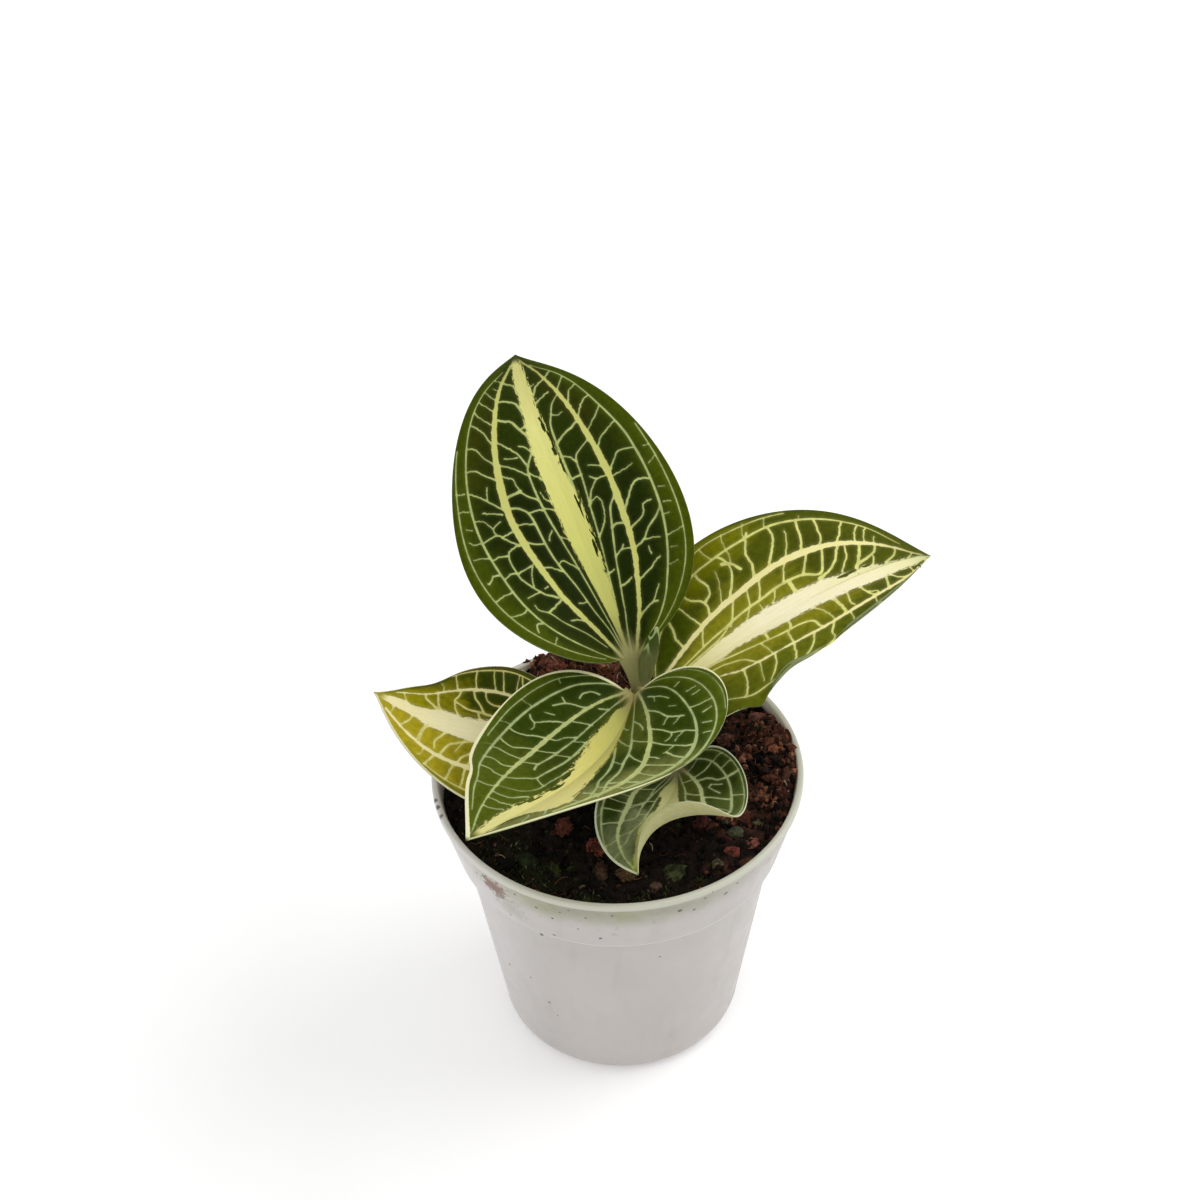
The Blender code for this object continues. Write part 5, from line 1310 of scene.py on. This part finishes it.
def pot_skin():
    """Near-white plastic with a damp, slightly green band under the lip, soil and specks,
    painted highlights down its left side and along the step, and painted shade inside the rim.
    """
    skin = Skin("pot_plastic", 0.38, 0.45, Subsurface_Weight=0.12, Subsurface_Scale=0.004)
    here = skin.place()
    x, y, z = skin.parts(here)
    cloud = skin.noise(here, 45, 4)
    tone = skin.mix(cloud, (206, 200, 196), (188, 181, 177))
    streaks = skin.noise(skin.stretched(here, (1, 1, 0.16)), 240, 4)
    tone = skin.mix(skin.ramp(streaks, 0.5, 0.8, 0, 0.25), tone, (168, 162, 152))
    tone = skin.mix(skin.ramp(z, 0.0603, 0.0609) * 0.85, tone, (203, 205, 187))
    # The pot is lighter towards its left side: a painted highlight.
    tone = skin.mix(skin.ramp(x, -0.012, -0.032) * 0.7, tone, (226, 223, 221))
    # A pale line along the step, where the ledge catches light: a painted highlight.
    step = skin.ramp(z, 0.0466, 0.0470) * skin.ramp(z, 0.0477, 0.0473)
    tone = skin.mix(step * skin.ramp(cloud, 0.35, 0.6, 0.25, 0.9), tone, (240, 238, 234))
    below = skin.ramp(z, 0.0532, 0.0597) * skin.ramp(z, 0.0612, 0.0603)
    damp = skin.ramp(y, -0.008, -0.020) * skin.ramp(x, -0.022, -0.013) * skin.ramp(x, 0.040, 0.000)
    tone = skin.mix(below * damp * skin.ramp(cloud, 0.3, 0.6, 0.6, 0.85), tone, (132, 134, 104))
    patch = skin.ramp(skin.noise(skin.stretched(here, (1, 1, 0.8)), 120, 5, 0.6), 0.40, 0.60)
    front = skin.ramp(y, -0.010, -0.030) * skin.ramp(x, 0.026, 0.006)
    tone = skin.mix(below * patch * front * 0.5, tone, (146, 152, 96))
    soil = skin.ramp(skin.noise(here, 420, 4, 0.65), 0.60, 0.72)
    collar = skin.ramp(z, 0.047, 0.058) * skin.ramp(z, 0.0606, 0.0600)
    tone = skin.mix(soil * collar * 0.5, tone, (120, 110, 80))
    # The inside wall just above the mix is darkened to a soil brown: painted shade inside the rim.
    inner = skin.ramp(z, 0.0612, 0.0596) * skin.attribute("inside")
    tone = skin.mix(inner * 0.55, tone, (120, 112, 84))
    grain = skin.noise(here, 900, 4, 0.7) - 0.5
    smear = skin.distance(here, on_pot(*SMEAR)) + grain * 0.012
    tone = skin.mix(skin.ramp(smear, 0.0032, 0.0020, 0, 0.9), tone, (112, 66, 46))
    tint = skin.distance(here, on_pot(*TINT)) + grain * 0.012
    tone = skin.mix(skin.ramp(tint, 0.0052, 0.0010, 0, 0.4), tone, (150, 148, 132))
    for angle, height, size in SPECKS:
        gap = skin.distance(here, on_pot(angle, height)) + grain * 0.0012
        tone = skin.mix(skin.ramp(gap, size * 1.2 * MM, size * 0.6 * MM, 0, 0.85), tone, (62, 58, 46))
    skin.colour(tone)
    skin.roughness(skin.ramp(skin.noise(here, 300, 4), 0.3, 0.7, 0.30, 0.50, "LINEAR"))
    skin.bump(skin.noise(here, 260, 3), 0.05, 0.35)
    skin.bump(skin.noise(here, 1400, 2), 0.02, 0.3)
    return skin.material


def build_pot():
    """The pot as one closed shell, very slightly out of round."""
    rings = pot_profile()[1:-1]
    count = len(rings)
    turn = turns(POT_SIDES)
    place = np.stack([np.cos(turn) * 1.3, np.sin(turn) * 1.3, turn * 0], -1)
    wobble = 1 + OUT_OF_ROUND * noise(place, 4)
    points = np.stack([rings[:, :1] * np.cos(turn) * wobble, rings[:, :1] * np.sin(turn) * wobble,
                       rings[:, 1:] + 0 * turn], -1).reshape(-1, 3)
    points = np.concatenate([points, [[0, 0, FLOOR], [0, 0, 0]]])
    hub = count * POT_SIDES
    faces = np.concatenate([ring_walls(count, POT_SIDES, outwards=False),
                            fan(0, POT_SIDES, hub, True),
                            fan(hub - POT_SIDES, POT_SIDES, hub + 1, False)])
    made = mesh_piece("pot_shell", points, faces, [pot_skin()], "pot_plastic", "pot")
    inside = np.arange(count) <= np.argmax(rings[:, 1] > POT_HEIGHT - 0.3)
    store(made, "inside", [*np.repeat(inside, POT_SIDES), 1, 0])


# --- potting mix -------------------------------------------------------------------------
MIX_LEVEL = 58.6
MIX_RINGS, MIX_SIDES = 150, 300
SKIRT_RADIUS, SKIRT_HEIGHT = 29.8, 48.6
# The mix's broad rises and dips: their height, middle x and y, and reach squared, in mm.
SWELLS = [(1.5, -8, 29, 110), (1.1, 30, 4, 130), (-1.3, -12, -16, 160), (-0.7, 10, -17, 90)]


def mix_height(x, y):
    """The mix's level without its crumbs, as the solid has it."""
    return sum((rise * np.exp(-((x - mid_x) ** 2 + (y - mid_y) ** 2) / reach)
                for rise, mid_x, mid_y, reach in SWELLS), MIX_LEVEL)


def collar_inside(z):
    """The inside radius of the pot's collar at this height."""
    low = COLLAR_FOOT_RADIUS - WALL
    share = (z - (STEP_HEIGHT + 1.4)) / (POT_HEIGHT - LIP_ROUNDING - STEP_HEIGHT - 1.4)
    return low + share * (RIM_RADIUS - LIP_WIDTH - low)


def heaped(x, y):
    """How much of the coarse, reddish mix lies here: at the back and on the right."""
    return (np.exp(-((x + 8) ** 2 + (y - 30) ** 2) / 130)
            + np.exp(-((x - 31) ** 2 / 90 + (y - 3) ** 2 / 240)))


def clumped(x, y):
    """1 on the tops of the coarse mix's clumps, down to 0 in the dark hollows between them."""
    return np.clip(0.5 + 1.9 * noise(np.stack([x * 0.3, y * 0.3, 0 * x + 5.0], -1), 61), 0, 1)


def lumpy(x, y):
    """The height of the mix's surface with its crumbs."""
    place = np.stack([x, y, 0 * x], -1)
    heap = heaped(x, y)
    return (mix_height(x, y) + 1.5 * heap + 0.5 * np.clip((x + 6) / 30, 0, 1)
            + 1.3 * np.minimum(heap, 1) * (clumped(x, y) - 0.6) + 0.55 * noise(place * 0.16, 1)
            + 0.55 * rough(place * 0.42, 21, 2) + 0.55 * np.maximum(rough(place, 31, 3), -0.35)
            + 0.22 * np.abs(rough(place * 2.6, 41, 2)))


def soil_skin():
    """Dark soil, redder where it is heaped: the coarse mix's own red, kept to its clumps' tops as a
    painted highlight, with painted shade left in the hollows; greener at the front left, with a few
    flecks.
    """
    skin = Skin("potting_mix", 0.95, 0.15)
    here = skin.place()
    x, y, _ = skin.parts(here)
    tone = skin.mix(skin.noise(here, 260, 5, 0.7), (11, 9, 7), (38, 27, 20))
    heap = skin.larger(skin.ramp(x, 0.010, 0.028), skin.ramp(y, 0.010, 0.026))
    # The red shows only on the clumps' tops: painted light on the heaps' own red, and painted shade in
    # the hollows.
    red = skin.ramp(skin.noise(here, 400, 4, 0.6), 0.35, 0.60) * heap * skin.attribute("clump")
    tone = skin.mix(red * 0.8, tone, (104, 58, 42))
    corner = skin.ramp(y, -0.004, -0.020) * skin.ramp(x, 0.012, -0.008)
    green = skin.ramp(skin.noise(here, 90, 5, 0.65), 0.42, 0.62) * corner
    tone = skin.mix(green * 0.5, tone, (36, 42, 16))
    fleck = skin.ramp(skin.noise(here, 900, 2), 0.68, 0.76)
    skin.colour(skin.mix(fleck * 0.35, tone, (124, 104, 84)))
    skin.bump(skin.noise(here, 700, 5, 0.7), 0.35, 0.9)
    return skin.material


def build_mix():
    """The mix's rough top, with a skirt down to a flat underside inside the pot."""
    edge = collar_inside(MIX_LEVEL - 1.6) - CLEARANCE
    turn = turns(MIX_SIDES)
    share = np.arange(1, MIX_RINGS + 1)[:, None] / MIX_RINGS
    x, y = edge * share * np.cos(turn), edge * share * np.sin(turn)
    z = lumpy(x, y)
    inside = collar_inside(z)
    fit = 1 + (np.maximum(inside - 0.10, edge) / edge - 1) * share ** 6
    fit = fit * np.minimum(1, (inside - 0.15) / edge)
    top = np.stack([x * fit, y * fit, z], -1).reshape(-1, 3)
    skirt = np.stack([np.cos(turn) * SKIRT_RADIUS, np.sin(turn) * SKIRT_RADIUS,
                      0 * turn + SKIRT_HEIGHT], -1)
    points = np.concatenate([[[0, 0, lumpy(0.0, 0.0)]], top, skirt, [[0, 0, SKIRT_HEIGHT]]])
    low = 1 + MIX_RINGS * MIX_SIDES
    faces = np.concatenate([fan(1, MIX_SIDES, 0, True),
                            1 + ring_walls(MIX_RINGS + 1, MIX_SIDES, outwards=False),
                            fan(low, MIX_SIDES, low + MIX_SIDES, False)])
    made = mesh_piece("mix_surface", points, faces, [soil_skin()], "potting_mix", "potting_mix")
    store(made, "clump", clumped(points[:, 0], points[:, 1]))


def unit_ball(splits):
    """A ball of radius 1 from an octahedron with its faces split this many times."""
    points = [np.array(point, float) for point in (
        (1, 0, 0), (0, 1, 0), (-1, 0, 0), (0, -1, 0), (0, 0, 1), (0, 0, -1))]
    faces = [(0, 1, 4), (1, 2, 4), (2, 3, 4), (3, 0, 4), (1, 0, 5), (2, 1, 5), (3, 2, 5), (0, 3, 5)]
    for _ in range(splits):
        halves, split = {}, []
        for face in faces:
            mids = []
            for a, b in zip(face, face[1:] + face[:1]):
                key = (min(a, b), max(a, b))
                if key not in halves:
                    halves[key] = len(points)
                    middle = points[a] + points[b]
                    points.append(middle / np.linalg.norm(middle))
                mids.append(halves[key])
            a, b, c = face
            split += [(a, mids[0], mids[2]), (mids[0], b, mids[1]), (mids[2], mids[1], c),
                      (mids[0], mids[1], mids[2])]
        faces = split
    return np.array(points), np.array(faces)


# The lumps that are solids of their own: place, half size, turn in degrees, lift and colour.
CHUNKS = {
    "bark_chip": [
        ((-3.8, -17.2), (2.0, 2.4, 1.6), 20, 0.5, (112, 58, 42)),
        ((-10.2, -11.6), (2.3, 1.7, 1.3), 75, 0.4, (98, 56, 42)),
        ((-3.4, -23.6), (1.2, 2.4, 1.3), 10, 0.4, (66, 46, 32)),
        ((0.9, -24.6), (1.9, 1.3, 1.0), -15, 0.3, (86, 66, 42)),
        ((30.2, 4.6), (2.3, 3.2, 1.5), -8, 0.3, (128, 78, 56)),
        ((26.8, -5.8), (2.6, 1.9, 1.2), 25, 0.3, (110, 70, 50)),
        ((27.3, 12.8), (2.2, 2.6, 1.3), 30, 0.3, (98, 60, 46)),
        ((-3.2, 29.4), (3.0, 1.8, 1.2), 5, 0.2, (122, 72, 52)),
        ((-11.6, 28.2), (2.6, 1.9, 1.2), -25, 0.2, (104, 60, 46)),
        ((15.4, -12.2), (1.7, 1.4, 1.0), 40, 0.3, (74, 38, 34)),
        ((21.0, 8.0), (2.2, 1.8, 1.1), 65, 0.3, (82, 50, 38))],
    "grit": [
        ((20.6, -19.4), (1.5, 1.2, 0.9), 15, 0.3, (112, 56, 44)),
        ((24.4, -17.6), (1.3, 1.1, 0.8), 50, 0.3, (116, 70, 58)),
        ((21.8, -14.6), (1.6, 1.1, 0.9), 0, 0.3, (74, 76, 56)),
        ((17.8, -22.6), (1.3, 1.0, 0.7), 80, 0.3, (96, 90, 62)),
        ((6.2, -27.6), (1.3, 1.1, 0.8), 30, 0.3, (82, 64, 52))],
    "moss_tuft": [
        ((9.8, -24.2), (2.3, 2.0, 1.2), 20, 0.1, (62, 66, 38)),
        ((-17.2, -19.6), (2.6, 1.9, 1.0), -40, 0.1, (34, 42, 16)),
        ((-23.6, -12.6), (2.0, 1.6, 0.9), 10, 0.1, (44, 54, 20))],
}
# For each kind: its ball's splits, its core's share of the size, how many crumbs or leaves are
# stuck to it, their least and greatest size and their shape, and how deep it is sunk, in mm.
CHUNK_KINDS = {"bark": (4, 0.86, 70, (0.16, 0.44), (1, 1, 1), 0.0),
               "grit": (3, 1.0, 0, None, (1, 1, 1), 0.35),
               "moss": (3, 0.86, 90, (0.14, 0.30), (0.35, 0.35, 1.5), 0.0)}


def chunk_skin(name, tone):
    """A broken, matt skin with pale flecks."""
    skin = Skin(name + "_skin", 0.9, 0.2)
    here = skin.place()
    mixed = skin.mix(skin.ramp(skin.noise(here, 520, 5, 0.7), 0.32, 0.66), toned(tone, 0.45),
                     toned(tone, 1.22))
    skin.colour(skin.mix(skin.ramp(skin.noise(here, 1500, 3), 0.62, 0.72, 0, 0.6), mixed,
                         toned(tone, 1.5, 12)))
    skin.bump(skin.noise(here, 1300, 5, 0.7), 0.25, 0.9)
    return skin.material


def build_chunk(index, name, place, half, turn, lift, tone):
    """A chip, a bit of grit or a tuft of moss; chips have crumbs stuck to them, moss has leaves."""
    kind = name.split("_")[0]
    splits, core, count, sizes, stretch, sunk = CHUNK_KINDS[kind]
    rng = np.random.default_rng(900 + index)
    ball, faces = unit_ball(splits)
    seed = 100 + index * 7
    shape = 1 + 0.26 * rough(ball * 1.5 + index * 3.1, seed, 2)
    shape = shape + 0.22 * np.abs(rough(ball * 4.5 + index, seed + 3, 3)) - 0.09
    pile = Pile()
    pile.add(ball * (shape * core)[:, None] * half, faces)
    ball, faces = unit_ball(1)
    for _ in range(count):
        way = rng.normal(size=3)
        way /= np.linalg.norm(way)
        way[2] = abs(way[2]) * 0.9 - 0.1
        crumb = ball * stretch * rng.uniform(0.7, 1.3, (len(ball), 1)) * rng.uniform(0.6, 1.4, 3)
        pile.add(way * half * rng.uniform(0.72, 1.05) + crumb * rng.uniform(*sizes), faces)
    x, y, z = turned(np.concatenate(pile.points), math.radians(turn)).T + [[place[0]], [place[1]], [0]]
    z = z + lift - sunk + max(mix_height(*place) + CLEARANCE + 0.25, lumpy(*place) - 0.2)
    room = collar_inside(np.minimum(z, POT_HEIGHT - LIP_ROUNDING)) - 0.05
    pull = np.minimum(1, room / np.hypot(x, y))
    mesh_piece(name + "_lump", np.stack([x * pull, y * pull, z], -1), np.concatenate(pile.faces),
               [chunk_skin(name, tone)], kind, name, smooth=kind != "grit")


def build_chunks():
    """All the lumps that are solids of their own."""
    index = 0
    for kind, rows in CHUNKS.items():
        for k, row in enumerate(rows):
            build_chunk(index, f"{kind}_{k + 1:02d}", *row)
            index += 1


CRUMB_COUNT = 2600
CRUMB_SIZES = (0.22, 0.62)
# The share of the crumbs that are large, and how much larger they are.
LARGE_SHARE, LARGE_GAIN = 0.07, 1.8
CRUMB_REACH = 32.4
# The two heaps of coarse mix, at the back and the right: middle and spread along x and y.
CRUMB_HEAPS = (((-8, 30.5), (5.0, 1.6)), ((29.5, 2.5), (2.6, 7.0)))
LARGEST_CRUMB = 1.2
LARGEST_ON_RIM = 0.5
CRUMB_TONES = [(20, 15, 11), (38, 26, 19), (72, 42, 31), (102, 62, 45), (132, 88, 66), (46, 52, 22),
               (13, 10, 8), (84, 76, 54)]


def crumb_skin(number, tone):
    """One of the mix's crumb colours."""
    skin = Skin(f"crumb_{number}", 0.95, 0.15)
    here = skin.place()
    skin.colour(skin.mix(skin.ramp(skin.noise(here, 800, 4, 0.7), 0.3, 0.7), toned(tone, 0.5),
                         toned(tone, 1.25)))
    skin.bump(skin.noise(here, 1600, 4), 0.2, 0.8)
    return skin.material


def build_crumbs():
    """Small lumps of the mix, thicker and redder at the back and the right, paler on the clumps'
    tops and darkest in the hollows between them, as painted light and shade.
    """
    rng = np.random.default_rng(77)
    ball, faces = unit_ball(1)
    pile = Pile()
    for k in range(CRUMB_COUNT):
        angle = rng.uniform(0, 2 * np.pi)
        radius = CRUMB_REACH * math.sqrt(rng.random())
        x, y = radius * math.cos(angle), radius * math.sin(angle)
        if k % 3 == 0:
            middle, spread = CRUMB_HEAPS[0 if k % 9 == 0 else 1]
            x, y = middle + rng.normal(size=2) * spread
            radius = math.hypot(x, y)
        heap = heaped(x, y)
        size = rng.uniform(*CRUMB_SIZES) * (1 + 0.3 * heap)
        if rng.random() < LARGE_SHARE:
            size *= LARGE_GAIN
        size = min(size, LARGEST_CRUMB)
        z = lumpy(x, y)
        limit = collar_inside(min(z, 60.5)) - size * 0.6 - 0.1
        if heap > 0.5 and y > 25 and radius > limit and rng.random() < 0.5:
            limit = min(radius, RIM_RADIUS - 0.6)
            z = POT_HEIGHT + 0.1
            size = min(size, LARGEST_ON_RIM)
        if radius > limit:
            x, y = x * limit / radius, y * limit / radius
        if z + size > POT_HEIGHT + LARGEST_CRUMB:
            continue
        lump = ball * (1 + 0.55 * rough(ball * 1.7 + k * 1.3, 300, 2))[:, None]
        lump = lump * rng.uniform(0.45, 1.5, 3) * size
        lump = turned(lump, rng.uniform(0, np.pi)) + (x, y, z + size * 0.15)
        dark = 1 - 0.85 * min(heap, 1)
        # Crumbs on the heaps' clump tops take the paler, redder tones as painted light, and those in the
        # hollows between them the darkest as painted shade.
        lit = heap * clumped(x, y)
        dim = heap - lit
        weights = np.array([4.0 * dark + 3 * dim, 3.0, 0.6 + 4 * lit + 3 * dim, 0.2 + 7 * lit,
                            0.1 + 4 * lit, 0.9 if (x < 10 and y < -6) else 0.1,
                            5.0 * dark + 5 * dim, 0.25])
        if z > POT_HEIGHT:
            weights[[0, 1, 5, 6, 7]] = 0
        pile.add(lump, faces, rng.choice(len(weights), p=weights / weights.sum()))
    skins = [crumb_skin(k + 1, tone) for k, tone in enumerate(CRUMB_TONES)]
    pile.make("mix_crumbs", skins, "potting_mix", smooth=False)


# --- fibres and moss ---------------------------------------------------------------------
FIBRE_COUNT = 330
FIBRE_REACH = 32.6
FIBRE_HEAPS = (((-7, 29.5), (6.0, 2.0)), ((29, 2), (2.6, 8.0)))
FIBRE_LENGTHS, FIBRE_HALF_WIDTHS = (1.2, 4.2), (0.06, 0.14)
# The fibres' colours, and the share of them that has each.
FIBRE_TONES = [(96, 58, 40), (132, 88, 62), (54, 36, 26), (176, 160, 132)]
FIBRE_SHARES = (0.4, 0.25, 0.31, 0.04)
SHOOT_COUNT = 620
SHOOT_REACH = 32.3
SHOOT_HEIGHTS = (0.3, 0.95)
SHOOT_TONES = [(46, 58, 20), (72, 84, 34), (132, 138, 98)]
SHOOT_SHARES = (0.6, 0.33, 0.07)
# Where the moss grows: the angle round the pot in degrees and the distance from its middle.
MOSS_PATCHES = [(-152, 29.5), (-145, 30.5), (-138, 31.0), (-131, 29.0), (-124, 31.2), (-116, 30.6),
                (-108, 31.4), (-98, 31.0), (-84, 30.6), (-72, 31.4), (-60, 30.2), (-122, 25.5),
                (-140, 24.5), (-158, 31.0)]


def strand_skins(name, tones, specular, shade, grains, smoothest, dullest):
    """One skin for each colour of a fibre or a shoot; grains scales its colour, bump and gloss."""
    skins = []
    for k, tone in enumerate(tones):
        skin = Skin(f"{name}_{k + 1}", 0.8, specular)
        here = skin.place()
        skin.colour(skin.mix(skin.noise(here, grains[0], 3), toned(tone, shade), tone))
        skin.bump(skin.noise(here, grains[1], 3), 0.04, 0.7)
        skin.roughness(skin.ramp(skin.noise(here, grains[2], 2), 0.3, 0.7, smoothest, dullest))
        skins.append(skin.material)
    return skins


def build_fibres():
    """Coir fibres in the coarse mix at the back and the right, and a few pale root ends."""
    rng = np.random.default_rng(55)
    pile = Pile()
    steps = np.linspace(0, 1, 7)
    swell = np.sin(np.pi * steps)
    for k in range(FIBRE_COUNT):
        if k % 3 < 2:
            middle, spread = FIBRE_HEAPS[k % 3]
            x, y = middle + rng.normal(size=2) * spread
        else:
            x, y = rng.uniform(-28, 28, 2)
        length = rng.uniform(*FIBRE_LENGTHS)
        way = rng.uniform(0, 2 * np.pi)
        curl = rng.uniform(-0.5, 0.5)
        angles = (way + curl * steps * 4)[:-1]
        runs = np.stack([np.cos(angles), np.sin(angles)], -1) * length / 6
        line = np.cumsum([(x, y), *runs], 0)
        if np.hypot(*line.T).max() > FIBRE_REACH:
            continue
        z = lumpy(*line.T) + 0.25 + swell * rng.uniform(0.1, 0.7)
        width = rng.uniform(*FIBRE_HALF_WIDTHS) * (0.35 + 0.65 * swell ** 0.5)
        points, faces = rod(np.column_stack([line, z]), np.repeat(width[:, None], 4, 1), 4)
        pile.add(points, faces, rng.choice(4, p=FIBRE_SHARES))
    skins = strand_skins("fibre", FIBRE_TONES, 0.15, 0.65, (1500, 3000, 900), 0.75, 0.95)
    pile.make("coir_fibres", skins, "potting_mix")


def build_moss():
    """Moss along the rim at the front and the left: short pointed shoots, some with pale tips."""
    rng = np.random.default_rng(66)
    pile = Pile()
    widths = np.repeat([[0.10], [0.13], [0.02]], 4, 1)
    for _ in range(SHOOT_COUNT):
        angle, radius = MOSS_PATCHES[rng.integers(len(MOSS_PATCHES))]
        x = radius * math.cos(math.radians(angle)) + rng.normal() * 1.5
        y = radius * math.sin(math.radians(angle)) + rng.normal() * 1.1
        if math.hypot(x, y) > SHOOT_REACH:
            continue
        lean = rng.normal(size=2) * 0.35
        height = rng.uniform(*SHOOT_HEIGHTS)
        rise = np.outer((0, 0.5, 1), (*(lean * height), height))
        points, faces = rod(rise + (x, y, lumpy(x, y) - 0.1), widths * rng.uniform(0.7, 1.3), 4)
        pile.add(points, faces, rng.choice(3, p=SHOOT_SHARES))
    skins = strand_skins("moss_shoot", SHOOT_TONES, 0.2, 0.55, (1200, 2600, 700), 0.7, 0.9)
    pile.make("moss_shoots", skins, "moss", smooth=False)


# --- stage, light and camera -------------------------------------------------------------
FLOOR_HALF = 3.0
FLOOR_LIFT = 0.20
WORLD_STRENGTH = 0.68
# Each lamp's place, the size of its disk and its power.
LIGHTS = {"key": ((0.8, 0.2, 0.95), 1.0, 6.0), "fill": ((-0.6, -0.7, 0.8), 0.9, 2.0)}
LIGHT_TARGET = (0, 0, 0.06)
CAMERA_TARGET = (-0.0024, 0.0, 0.1042)
CAMERA_DISTANCE = 0.45
CAMERA_ELEVATION = 41.5
CAMERA_ROLL = -1.5
SENSOR_WIDTH, LENS = 36, 76.2


def build_stage():
    """A white floor that looks white to the camera and in reflections, and keeps the shadow."""
    mesh = bpy.data.meshes.new("floor")
    corners = [(x * FLOOR_HALF, y * FLOOR_HALF, 0) for x, y in ((-1, -1), (1, -1), (1, 1), (-1, 1))]
    mesh.from_pydata(corners, [], [(0, 1, 2, 3)])
    floor = bpy.data.objects.new("floor", mesh)
    bpy.context.scene.collection.objects.link(floor)
    skin = Skin("floor_paper", 0.95, 0.0, Emission_Color=(1, 1, 1, 1))
    skin.colour(skin.mix(skin.noise(skin.place(), 30, 2), (246, 246, 246), (250, 250, 250)))
    camera, glossy, clear = (skin.node("LightPath", f"Is {ray} Ray")
                             for ray in ("Camera", "Glossy", "Transmission"))
    direct = skin.larger(camera, skin.larger(glossy, clear))
    skin.link(direct * FLOOR_LIFT, skin.shader.inputs["Emission Strength"])
    mesh.materials.append(skin.material)


def build_light():
    """An even white world, a key lamp from the back right and a weak fill lamp."""
    world = bpy.data.worlds.new("studio")
    bpy.context.scene.world = world
    world.use_nodes = True
    shade = world.node_tree.nodes["Background"]
    shade.inputs["Color"].default_value = (1, 1, 1, 1)
    shade.inputs["Strength"].default_value = WORLD_STRENGTH
    for name, (place, size, power) in LIGHTS.items():
        data = bpy.data.lights.new(name, "AREA")
        data.shape = "DISK"
        data.size = size
        data.energy = power
        light = bpy.data.objects.new(name, data)
        light.location = place
        aim = Vector(LIGHT_TARGET) - Vector(place)
        light.rotation_euler = aim.to_track_quat("-Z", "Y").to_euler()
        bpy.context.scene.collection.objects.link(light)


def build_camera():
    """The photo's camera."""
    elevation, roll = math.radians(CAMERA_ELEVATION), math.radians(CAMERA_ROLL)
    back = np.array([0, -math.cos(elevation), math.sin(elevation)])
    right = np.array([1.0, 0, 0])
    up = np.cross(back, right)
    side = math.cos(roll) * right + math.sin(roll) * up
    top = math.cos(roll) * up - math.sin(roll) * right
    place = np.array(CAMERA_TARGET) + back * CAMERA_DISTANCE
    data = bpy.data.cameras.new("camera")
    data.sensor_width = SENSOR_WIDTH
    data.lens = LENS
    data.clip_start = 0.01
    camera = bpy.data.objects.new("camera", data)
    bpy.context.scene.collection.objects.link(camera)
    camera.matrix_world = Matrix([*np.stack([side, top, back, place], -1).tolist(), [0, 0, 0, 1]])
    bpy.context.scene.camera = camera


for leaf_name in SHAPES:
    build_leaf(leaf_name)
build_stem()
build_new_leaf()
build_pot()
build_mix()
build_chunks()
build_crumbs()
build_fibres()
build_moss()
build_stage()
build_light()
build_camera()
bpy.context.scene.view_settings.view_transform = "Standard"
